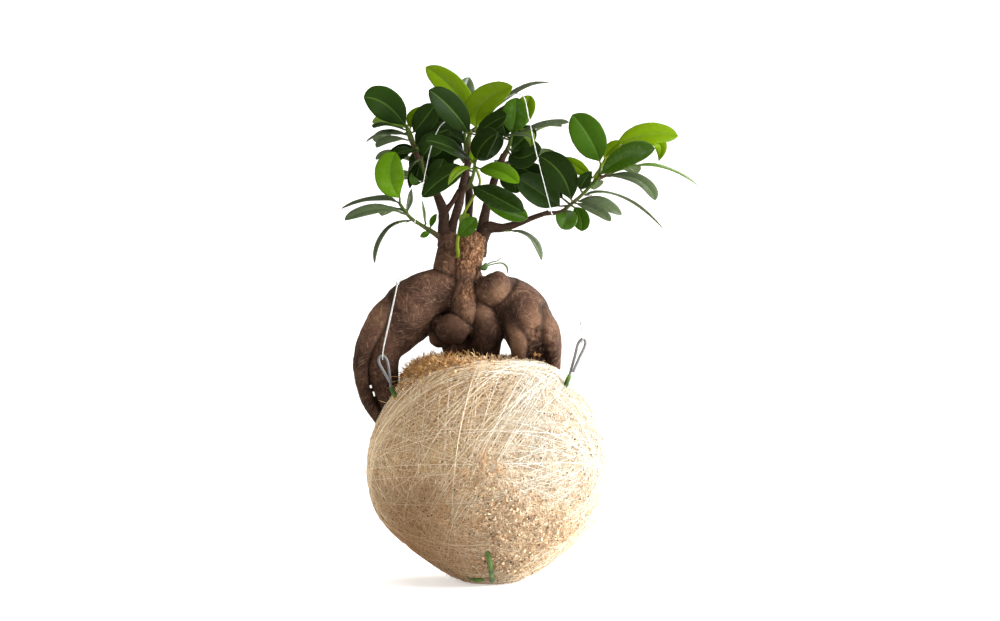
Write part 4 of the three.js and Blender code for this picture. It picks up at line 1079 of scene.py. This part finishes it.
# Leaves
# Thick waxy leaves, most of them 15 to 45 mm long, dark green above and paler below, on short stalks. Young
# ones at the shoot tips are lime green. Each grows out of the green stem of its shoot.
FRONT, TILTED, LEVEL = (0, -1, 0.12), (0, -0.75, 0.6), (0, -0.32, 0.95)
# The lowest tone paints a grey-green sheen on a leaf's top; the rest run from dark green to lime.
PAINTED_SHEEN, DARK, MIDDLE, FRESH, LIME = -0.25, 0.07, 0.36, 0.72, 1.0
SHOOTS = {
    "shoot_left_low": ([
        [(-27, 0, 214, 2.2), (-33, -3, 218.5, 1.7), (-41, -6, 223.5, 1.2), (-49, -8, 229, 1.1),
         (-55, -11, 237, 1)],
    ], [
        ((-57, -11, 238.5), (-72, -8, 240), (-92, -4, 234.5), 13, LEVEL, PAINTED_SHEEN),
        ((-51, -11, 230.5), (-69, -24, 233), (-88, -33, 226), 14, (0, -0.45, 0.9), PAINTED_SHEEN),
        ((-48, -9, 227), (-64, -13, 219.5), (-70.5, -15, 200), 11, (-0.85, -0.3, 0.5), PAINTED_SHEEN),
        ((-55, -13, 241), (-61, -21, 254), (-57, -25, 268.5), 18.5, FRONT, FRESH),
        ((-51, -6, 232), (-49.5, -4, 240), (-48, -3, 247), 8, (0.9, -0.4, 0), PAINTED_SHEEN),
        ((-50, -5, 231), (-60, 9, 235), (-68, 24, 231), 13, (-0.1, 0.3, 1), MIDDLE),
        ((-39, -5, 225), (-40.5, -6, 232), (-41, -7, 239), 7, (0.95, -0.2, 0), MIDDLE),
        ((-36, -6, 222.5), (-34.5, -8, 227), (-32, -9, 231), 4, FRONT, MIDDLE),
        ((-36, -6, 220), (-39.5, -8, 218), (-42.5, -9, 216.5), 4, FRONT, MIDDLE),
    ]),
    "shoot_left_inner": ([
        [(-32, 2, 244, 1.3), (-36, -3, 248, 1.1), (-40, -4, 257, 1), (-42, -4, 265, 0.9)],
    ], [
        ((-35, 0, 248), (-32, 0, 256), (-28, 2, 266), 13, FRONT, DARK),
        ((-41, -1, 267), (-36, -2, 274), (-29, -3, 281), 15, FRONT, DARK),
        ((-43, -4, 262), (-47, -4, 256), (-49, -5, 247), 7, (-0.5, -0.8, 0.2), DARK),
        ((-42, -5, 251), (-46.5, -6, 251.5), (-48, -7, 257), 5, FRONT, MIDDLE),
        ((-43, -5, 265), (-46.5, -7, 262.5), (-50, -9, 256.5), 9, (-0.7, -0.2, 0.75), PAINTED_SHEEN),
    ]),
    "shoot_left_top": ([
        [(-44, 5, 266, 1.7), (-47, 1, 274, 1.3), (-50, -1, 281, 1.1), (-51, -1, 287, 1)],
    ], [
        ((-52, -2, 287), (-64, -9, 299.5), (-77.5, -14, 303.5), 20, FRONT, 0.5 * MIDDLE),
        ((-52, -4, 284), (-63, -12, 286.3), (-71, -19, 284), 12, (0, -0.25, 1), DARK),
        ((-51, -1, 281), (-65, 1, 281.8), (-77, 4, 277), 14, LEVEL, PAINTED_SHEEN),
        ((-50, -4, 277.5), (-60, -14, 277), (-69, -22, 271.5), 12, (0, -0.4, 0.9), PAINTED_SHEEN),
        ((-47, 2, 273), (-55, 2, 270), (-64.5, 2, 263.5), 12, TILTED, DARK),
        ((-45, -2, 271), (-50, -12, 270.5), (-58, -22, 267.5), 12, (0, -0.5, 0.85), DARK),
        ((-47, 2, 283), (-40, 1, 291), (-33, 0, 300.5), 15, (0.1, -1, 0.1), DARK),
        ((-45, 1, 274), (-37, 3, 280), (-24, 5, 285), 17, (0.1, -1, 0.2), DARK),
        ((-53, 1, 282), (-63.5, 12, 283), (-71, 26, 278), 14, (-0.2, 0.3, 1), MIDDLE),
    ]),
    "young_left_top": ([
        [(-44, 8, 265, 1.5), (-47, 8, 276, 1.2), (-50, 6, 285, 1)],
    ], [
        ((-52, 5, 286), (-62, 3, 290.5), (-73, 2, 289), 10, TILTED, LIME),
        ((-49, 6, 286), (-47, 6, 292.5), (-41, 6, 299.5), 9, FRONT, LIME),
    ]),
    "shoot_crown_top": ([
        [(-11, 3, 270, 1.9), (-12, 0, 277, 1.4), (-11, -1, 284, 1.1)],
    ], [
        ((-12, -5, 282), (-23, -17, 296), (-36.5, -25, 307), 17.5, (-0.2, -0.9, 0.35), DARK),
        ((-8, -4, 281), (3, -11, 288), (12, -17, 292), 12, (0.1, -0.85, 0.4), DARK),
    ]),
    "shoot_crown_back": ([
        [(-13, 6, 263, 1.8), (-14, 12, 272, 1.3), (-12, 14, 284, 1)],
    ], [
        ((-12, 15, 287), (-15, 15, 303), (-12, 16, 319), 14, (0.25, -0.9, 0.2), PAINTED_SHEEN),
        ((-8, 14, 287), (17, 12, 309), (39, 13, 315), 9, (-0.5, -0.45, 0.75), PAINTED_SHEEN),
        ((-8, 13, 284), (11, 10, 297), (27, 9, 304), 10, (-0.5, -0.6, 0.6), PAINTED_SHEEN),
        ((-15, 14, 277), (-28, 16, 287), (-40, 16, 297), 17, (0, -0.95, 0.3), DARK),
        ((-16, 13, 268), (-26, 14, 273), (-38, 15, 272), 18, FRONT, DARK),
        ((-11, 12, 269), (-2, 13, 274), (9, 13, 283), 17, FRONT, DARK),
    ]),
    "young_crown": ([
        [(-9, 6, 270, 1.6), (-7, 6, 278, 1.2), (-7, 5, 286, 1)],
    ], [
        ((-9, 6.5, 289), (-21, 7, 309), (-39.5, 11, 325), 16.5, FRONT, LIME),
        ((-7, 2, 286), (-4, -6, 300), (15.5, -15, 310), 18, (0.1, -0.95, 0.2), 1.1 * LIME),
    ]),
    "shoot_centre_right": ([
        [(9, 6, 266, 1.9), (13, 4, 274, 1.3), (15, 2, 281, 1)],
    ], [
        ((14, -1, 269), (21, -6, 266), (31, -8, 271), 15, (0.1, -0.95, 0.3), DARK),
        ((15, 5, 272), (22, 9, 279), (29, 11, 287), 14, (0.1, -0.95, 0.3), DARK),
        ((9, 1, 279), (18, -3, 281), (29, -6, 278), 9, LEVEL, PAINTED_SHEEN),
        ((18, 3, 282), (36, 1, 287.5), (51, 0, 289), 10, (0.1, -0.4, 0.9), PAINTED_SHEEN),
        ((15, -1, 282), (17, -4, 293), (17.5, -6, 304), 17, FRONT, MIDDLE),
        ((12, 3, 280), (9.5, 3, 288), (9, 2, 295), 13, FRONT, DARK),
        ((17, 4, 284), (22.5, 3, 296), (27, 2, 306), 13, FRONT, LIME),
        ((20, 4, 285), (26, 4, 281), (27, 4, 274), 7, FRONT, LIME),
    ]),
    "shoot_centre_front": ([
        [(-15, 3, 247, 1.6), (-12, -4, 249, 1.3), (-9, -8, 256, 1.1), (-8, -11, 263, 1)],
    ], [
        ((-11, -13, 265), (-25, -25, 272), (-38, -33, 275), 16, (-0.3, -0.75, 0.6), DARK),
        ((-7, -14, 265), (-3, -23, 273), (6, -31, 280), 18, (0, -0.9, 0.45), DARK),
        ((-5, -13, 259), (6, -25, 257), (19, -33, 249), 14, TILTED, FRESH),
        ((-10, -12, 259), (-18, -22, 257.5), (-24.5, -28, 248), 6, TILTED, LIME),
        ((-9, -9, 248), (5, -22, 240.5), (22, -31, 231), 18, (0.1, -0.8, 0.6), DARK),
        ((-3, -9, 241), (12, -14, 233), (25, -17, 228), 13, (0, -0.9, 0.4), MIDDLE),
        ((-14, -7, 259), (-27, -8, 254), (-41, -8, 241.5), 14, FRONT, DARK),
    ]),
    "shoot_right": ([
        [(35, -6, 231, 1.4), (46, -8, 232.5, 1.2), (52, -8, 237, 1.1), (58, -7, 242, 1.1), (64, -6, 248, 1),
         (69, -6, 253, 1), (71, -6, 262, 0.9)],
        [(68, -6, 252, 1), (80, -4, 258, 0.9), (90, -3, 261, 0.8)],
    ], [
        ((45, -5, 236), (33, -3, 244.5), (18, -4, 254), 20, (0, -0.9, 0.4), DARK),
        ((47, -2, 241), (34, 4, 253), (18, 8, 262), 15, FRONT, DARK),
        ((52, -10, 240), (45.5, -11, 256), (32, -10, 267), 19, FRONT, DARK),
        ((58, -10, 246), (60, -12, 251), (65, -12, 257.5), 9, FRONT, DARK),
        ((70, -9, 264), (63, -17, 278), (52.5, -22, 292), 21, FRONT, MIDDLE),
        ((71, -9, 256), (86, -19, 266), (103.5, -26, 270.5), 16, (-0.1, -0.9, 0.4), MIDDLE),
        ((92, -3, 261.5), (112, 0, 260), (132, 4, 250), 12, (0.15, -0.2, 1), FRESH),
        ((73, -10, 254.5), (93, -22, 251.5), (103.5, -29, 238.5), 13, (0.2, -0.55, 0.8), PAINTED_SHEEN),
        ((61, -4, 243), (84, 7, 242.5), (111, 14, 223), 13, (0.1, -0.12, 1), PAINTED_SHEEN),
        ((55, -11, 237.5), (66, -22, 233), (76, -29, 225.5), 10, (0.2, -0.65, 0.75), PAINTED_SHEEN),
        ((57, -6, 239), (70, -7, 237.5), (84, -6, 230.5), 13, (0.1, -0.6, 0.8), PAINTED_SHEEN),
        ((80, -1, 259), (88, 13, 262), (95, 28, 258), 14, (0.1, 0.3, 1), MIDDLE),
        ((62, -3, 247), (66, 12, 252), (68, 28, 248), 14, (0.1, 0.35, 1), MIDDLE),
        ((49, -11, 233), (49, -15, 228), (45.5, -16.5, 221.5), 14, FRONT, MIDDLE),
        ((54, -10, 235), (58, -12, 228), (58.5, -13, 220), 11, FRONT, MIDDLE),
    ]),
    "young_right": ([
        [(66.2, -3.6, 250.4, 1), (72, -1, 262, 1), (78, -1, 271, 0.9), (88, -1, 275, 0.8)],
    ], [
        ((81, -2, 275), (100, 0, 281.5), (120, 4, 280.5), 14.5, (0, -0.95, 0.3), LIME),
        ((73, -3, 267), (78, -4, 272.5), (84, -5, 277), 8, FRONT, LIME),
        ((92, -1, 276), (107, -1, 276), (107.5, -2, 264.5), 9.5, TILTED, LIME),
        ((66, 1, 254), (56, 1, 261), (46.5, 1, 267), 9, FRONT, LIME),
    ]),
    "drooping_leaf": ([
        [(9, -1, 221, 0.9), (14, -3, 220.8, 0.8)],
    ], [
        ((15, -3, 220.7), (27, -6, 215.5), (33.5, -8, 202), 12, (0.75, -0.35, 0.6), PAINTED_SHEEN),
    ]),
    "water_sprout": ([
        [(-18.5, -7, 204, 1.4), (-19, -12, 212, 1), (-18, -12, 220, 0.9), (-15, -9, 231, 0.9),
         (-9, -6, 242, 0.8), (-5, -4, 251, 0.8), (-7.5, -3, 260, 0.8)],
    ], [
        ((-18, -14, 217), (-13, -17, 222), (-7, -18, 228), 10, FRONT, MIDDLE),
        ((-17.5, -12, 225), (-15, -13, 228), (-11.5, -13, 230.5), 6, FRONT, LIME),
        ((-8, -4, 262), (-9, -6, 267), (-8, -7, 274), 6, FRONT, LIME),
    ]),
}
# Half widths of a blade as shares of its widest, from its base to its blunt tip.
OUTLINE = np.array([
    (0, 0.05), (0.04, 0.17), (0.1, 0.4), (0.2, 0.70), (0.34, 0.92), (0.5, 1.0), (0.64, 0.99), (0.77, 0.88),
    (0.87, 0.70), (0.94, 0.46), (0.98, 0.24), (1, 0.03),
])
SMALL_OUTLINE = np.array([
    (0, 0.08), (0.1, 0.34), (0.25, 0.72), (0.45, 1.0), (0.62, 0.94), (0.8, 0.66), (0.93, 0.3), (1, 0.03),
])
ACROSS = np.array([-1, -0.9, -0.68, -0.4, -0.14, 0, 0.14, 0.4, 0.68, 0.9, 1])
ROWS, SMALL_LEAF = 18, 10
BLADE_THICKNESS, GROOVE, RIDGE = 0.45, 0.10, 0.42
RISE, ROLL, WAVE, TWIST = 0.36, 0.22, 0.045, 0.10
STALK_SIDES, STEM_SIDES, RING_RISE = 6, 10, 0.16
leaf_rng = np.random.default_rng(19)


def blade(foot, base, middle, tip, width, face, tone):
    """One leaf: its stalk from the stem, then a blade whose halves rise from the midrib and roll down."""
    base, middle, tip = (np.array(p, float) for p in (base, middle, tip))
    control = 2 * middle - 0.5 * base - 0.5 * tip
    outline = SMALL_OUTLINE if width < SMALL_LEAF else OUTLINE
    twist, phase = leaf_rng.normal(0, TWIST), leaf_rng.uniform(0, 6.3, 2)
    shade = leaf_rng.uniform()
    reach, at_rib = np.abs(ACROSS), ACROSS == 0
    thick = BLADE_THICKNESS * (1 - 0.55 * reach**2)
    top, bottom, marks = [], [], []
    for t in 0.5 - 0.5 * np.cos(np.linspace(0, math.pi, ROWS)):
        centre = (1 - t) ** 2 * base + 2 * t * (1 - t) * control + t * t * tip
        way = unit(2 * (1 - t) * (control - base) + 2 * t * (tip - control))
        out = unit(np.array(face, float) - way * way.dot(face))
        beside = np.cross(out, way)
        turn = twist * (t - 0.3)
        out, beside = (
            out * math.cos(turn) + beside * math.sin(turn), beside * math.cos(turn) - out * math.sin(turn),
        )
        half = width / 2 * np.interp(t, *outline.T)
        wave = WAVE * half * reach**2 * np.sin(9 * t + np.where(ACROSS < 0, phase[0], phase[1]))
        rise = half * (RISE * reach - ROLL * reach**2) + wave
        places = centre + np.outer(ACROSS * half, beside) + np.outer(rise, out)
        top.append(places + np.outer(thick / 2 - GROOVE * at_rib, out))
        bottom.append(places - np.outer(thick / 2 + RIDGE * (1 - 0.8 * t) * at_rib, out))
        marks += [(a, t, tone) for a in ACROSS]
    n, count = len(ACROSS), ROWS * len(ACROSS)
    faces = net(ROWS, n, closed=False) + turned_over(net(ROWS, n, start=count, closed=False))
    for a, on in [(a, 1) for a in range(n - 1)] + [(a, n) for a in range(n - 1, count - n, n)]:
        faces.append((a, count + a, count + a + on, a + on))
    for a, on in [(a, 1) for a in range(count - n, count - 1)] + [(a, n) for a in range(0, count - n, n)]:
        faces.append((a, a + on, count + a + on, count + a))
    sides = np.zeros((2 * count, 3))
    sides[count:, 0] = 1
    sides[:, 1] = shade
    stalk_run = [
        (*foot, 0.8), (*(foot * 0.35 + base * 0.65), 0.62), (*base, 0.55),
        (*(base * 0.8 + middle * 0.2), 0.2),
    ]
    stalk_points, stalk_faces = swept(smooth(stalk_run, 9), STALK_SIDES)
    stalk_marks = np.tile((0.0, 0.0, tone), (len(stalk_points), 1))
    stalk_sides = np.tile((0.35 + 0.4 * tone, shade, 1.0), (len(stalk_points), 1))
    return [
        (np.concatenate(top + bottom) * MM, faces, np.array(marks * 2), sides),
        (stalk_points, stalk_faces, stalk_marks, stalk_sides),
    ]


def green_stem(points, least):
    """The stem of a shoot, greenest at its tip, least where it leaves the wood, ringed where leaves sat."""
    run = smooth(points, 10 * (len(points) - 1))
    lumps = [RING_RISE * math.exp(-(((i % 10) - 5) / 1.2) ** 2) for i in range(len(run))]
    stem_points, stem_faces = swept(run, STEM_SIDES, lumps)
    share = np.concatenate([[0], np.repeat(np.linspace(0, 1, len(run)), STEM_SIDES), [1]])
    marks = np.zeros((len(stem_points), 3))
    marks[:, 1] = share
    sides = np.tile((0.0, 0.5, 1.0), (len(stem_points), 1))
    sides[:, 0] = np.maximum(share * 0.8, least)
    return stem_points, stem_faces, marks, sides


def leaf_skin(name, under_colours, stem_green):
    """Waxy skin, shinier on some leaves. The mesh says how far across and along its blade a point is, its
    tone from a painted grey-green sheen through dark green to young lime, on which side of it the point lies,
    and whether it is on a stalk or a stem.
    """
    skin = Finish(name)
    across, along, tone = skin.parted(skin.written("blade", "Vector"))
    under, shade, stalk = skin.parted(skin.written("side", "Vector"))
    reach = abs(across)
    spot = skin.place()
    mottle = skin.cloud(spot, 300.0, 4.0, 0.6)
    grain = skin.cloud(spot, 2400.0, 2.0)
    underneath = skin.step(under, 0.4, 0.6)
    vein = skin.node("Math", {"operation": "FRACT"}, {0: along * 12.0 - reach * 3.2})
    vein = skin.step(abs(vein - 0.5), 0.40, 0.5) * skin.step(reach, 0.97, 0.6)
    midrib = skin.step(reach, 0.085, 0.03)
    upper = skin.ramp(
        tone + (shade - 0.5) * 0.16 + (mottle - 0.5) * 0.14,
        (0.0, (0.0060, 0.0130, 0.0020)), (0.18, (0.0095, 0.0240, 0.0018)), (0.4, (0.021, 0.054, 0.0008)),
        (0.7, (0.040, 0.094, 0.0010)), (1.0, (0.066, 0.112, 0.0010)),
    )
    upper = skin.coated(
        upper,
        # Leaves of the lowest tone are painted a pale grey-green on top: a painted sheen, as where a glossy
        # leaf catches light at a glancing angle.
        (skin.blend((0.022, 0.034, 0.013), (0.058, 0.074, 0.036), mottle), skin.step(tone, -0.05, -0.2)),
        ((0.070, 0.130, 0.020), vein * 0.015 + midrib * 0.30),
        ((0.10, 0.16, 0.03), skin.step(reach, 0.93, 0.99) * 0.10),
    )
    lower = skin.coated(
        under_colours[0],
        (under_colours[1], skin.step(tone, 0.2, 0.9)),
        ((0.19, 0.25, 0.12), vein * 0.2 + midrib * 0.6),
        ((0.07, 0.11, 0.04), skin.step(mottle, 0.45, 0.75) * 0.35),
    )
    stem = skin.coated(
        (0.045, 0.028, 0.018),
        (stem_green, skin.step(under, 0.1, 0.55)),
        ((0.06, 0.05, 0.025), skin.step(grain, 0.5, 0.8) * 0.5),
    )
    glossy = skin.step(shade + mottle * 0.6, 0.85, 1.25) * skin.step(under, 0.6, 0.4)
    skin.wear(
        Base_Color=skin.coated(upper, (lower, underneath), (stem, stalk)),
        Roughness=0.34 + 0.14 * mottle + 0.2 * underneath * (1 - stalk) + 0.15 * stalk,
        Specular_IOR_Level=0.02,
        Coat_Weight=0.45 * glossy * (1 - stalk),
        Coat_Roughness=0.3,
        Normal=skin.relief(vein * 0.15 + midrib * 0.4 + mottle * 0.3 + grain * 0.1, 0.25 * MM),
    )
    return skin.material


leaf_green = leaf_skin("waxy_leaf", ((0.046, 0.062, 0.026), (0.065, 0.105, 0.013)), (0.040, 0.062, 0.012))
leaf_lime = leaf_skin("young_leaf", ((0.075, 0.12, 0.02), (0.080, 0.135, 0.004)), (0.095, 0.125, 0.010))

# The back of the crown: each stem has so many leaves in a fan to either side of it, and some placed singly.
BACK_STEMS = {
    "shoot_back_left": (
        [(-33, 4, 247, 1.6), (-37, 16, 252, 1.3), (-42, 27, 260, 1.1), (-45, 34, 270, 1)], 4, (-75, 0), 3,
        [
            ((-37, 17, 252), (-42, 17, 262), (-45, 16, 273), 16, FRONT, DARK),
            ((-37, 19, 253), (-31, 20, 262), (-27, 21, 273), 17, FRONT, DARK),
        ],
    ),
    "shoot_back_middle": (
        [(-13, 26, 253, 1.7), (-14, 30, 264, 1.3), (-15, 31, 278, 1), (-15, 30, 290, 0.9)], 5, (-28, 28), 5,
        [],
    ),
    "shoot_back_right": (
        [(6, 8, 260, 1.6), (11, 17, 262, 1.3), (16, 25, 268, 1.1), (19, 31, 276, 1)], 4, (5, 70), 23,
        [
            ((12, 17, 262), (16, 16, 255), (18, 15, 245), 18, FRONT, DARK),
            ((15, 22, 267), (23, 20, 271), (34, 18, 274), 17, FRONT, DARK),
        ],
    ),
}


def draws(seed):
    """A repeatable run of numbers from 0 to 1, the same as the part's source draws."""
    state = seed
    whole = 0xFFFFFFFF
    while True:
        state = (state + 0x6D2B79F5) & whole
        t = ((state ^ (state >> 15)) * (1 | state)) & whole
        t = ((t + (((t ^ (t >> 7)) * (61 | t)) & whole)) & whole) ^ t
        yield ((t ^ (t >> 14)) & whole) / 4294967296


for name, (stem, leaves, fan, seed, singly) in BACK_STEMS.items():
    draw = draws(seed)
    blades = []
    for i in range(leaves):
        t = 0.35 + 0.65 * i / (leaves - 1)
        turn = math.radians(fan[i % 2] + 14 * (next(draw) - 0.5))
        rise = 0.1 + 0.5 * t * next(draw)
        way = unit(np.array([math.sin(turn), math.cos(turn), rise]))
        length = 26 + 8 * next(draw)
        face = (0.2 * next(draw), 0.55 * (1 - rise), 1.0)
        base = smooth(stem, 400)[round(t * 400), :3] / MM + way * 4
        middle = base + way * length * 0.5 + (0, 0, 2)
        tip = base + way * length + (0, 0, -5)
        blades.append((base, middle, tip, length * 0.47, face, (DARK, MIDDLE)[i % 2]))
    SHOOTS[name] = ([stem], blades + singly)

YOUNG = ("young_left_top", "young_crown", "young_right", "water_sprout")
for name, (stems, blades) in SHOOTS.items():
    places = np.concatenate([smooth(stem, 40)[12:, :3] for stem in stems]) / MM
    young = name in YOUNG
    parts = [green_stem(stem, 0.5 if young else 0.0) for stem in stems]
    for base, *rest in blades:
        foot = places[np.linalg.norm(places - np.array(base), axis=1).argmin()]
        parts.extend(blade(foot, base, *rest))
    made(
        name + "_leaves", *gathered([part[:2] for part in parts]), leaf_lime if young else leaf_green,
        "young_leaf" if young else "leaf", name,
        marks={
            "blade": np.concatenate([part[2] for part in parts]),
            "side": np.concatenate([part[3] for part in parts]),
        },
    )

# Side bud
# A bud that broke from the old wood beside the sawn stump, soft and green. Two dry tendrils grow from it and
# hang to the right.
bud_finish = Finish("side_bud")
spot = bud_finish.place()
bud_mottle = bud_finish.cloud(spot, 700.0, 3.0)
bud_finish.wear(
    Base_Color=bud_finish.blend((0.025, 0.055, 0.015), (0.085, 0.125, 0.045), bud_mottle),
    Roughness=0.4 + 0.25 * bud_mottle,
    Specular_IOR_Level=0.1,
    Normal=bud_finish.relief(bud_mottle, 0.25 * MM),
)
BUD = [(-4, -6, 197, 1.3), (-2, -9, 197.5, 2), (-1, -11, 199.5, 1.1)]
TENDRILS = [
    [(-1.5, -10, 198.5, 0.42), (2, -11, 200.5, 0.38), (6, -12, 201.5, 0.3), (8.5, -12, 203.5, 0.22)],
    [
        (-1.5, -10, 198, 0.42), (4, -10, 199.6, 0.4), (9, -10, 200, 0.5), (12, -10, 197.5, 0.7),
        (12.3, -10, 194, 0.3),
    ],
]
points, faces = gathered([swept(smooth(run, 14), 10) for run in [BUD, *TENDRILS]])
made("side_bud", points, faces, bud_finish.material, "young_leaf", "trunk_bud")
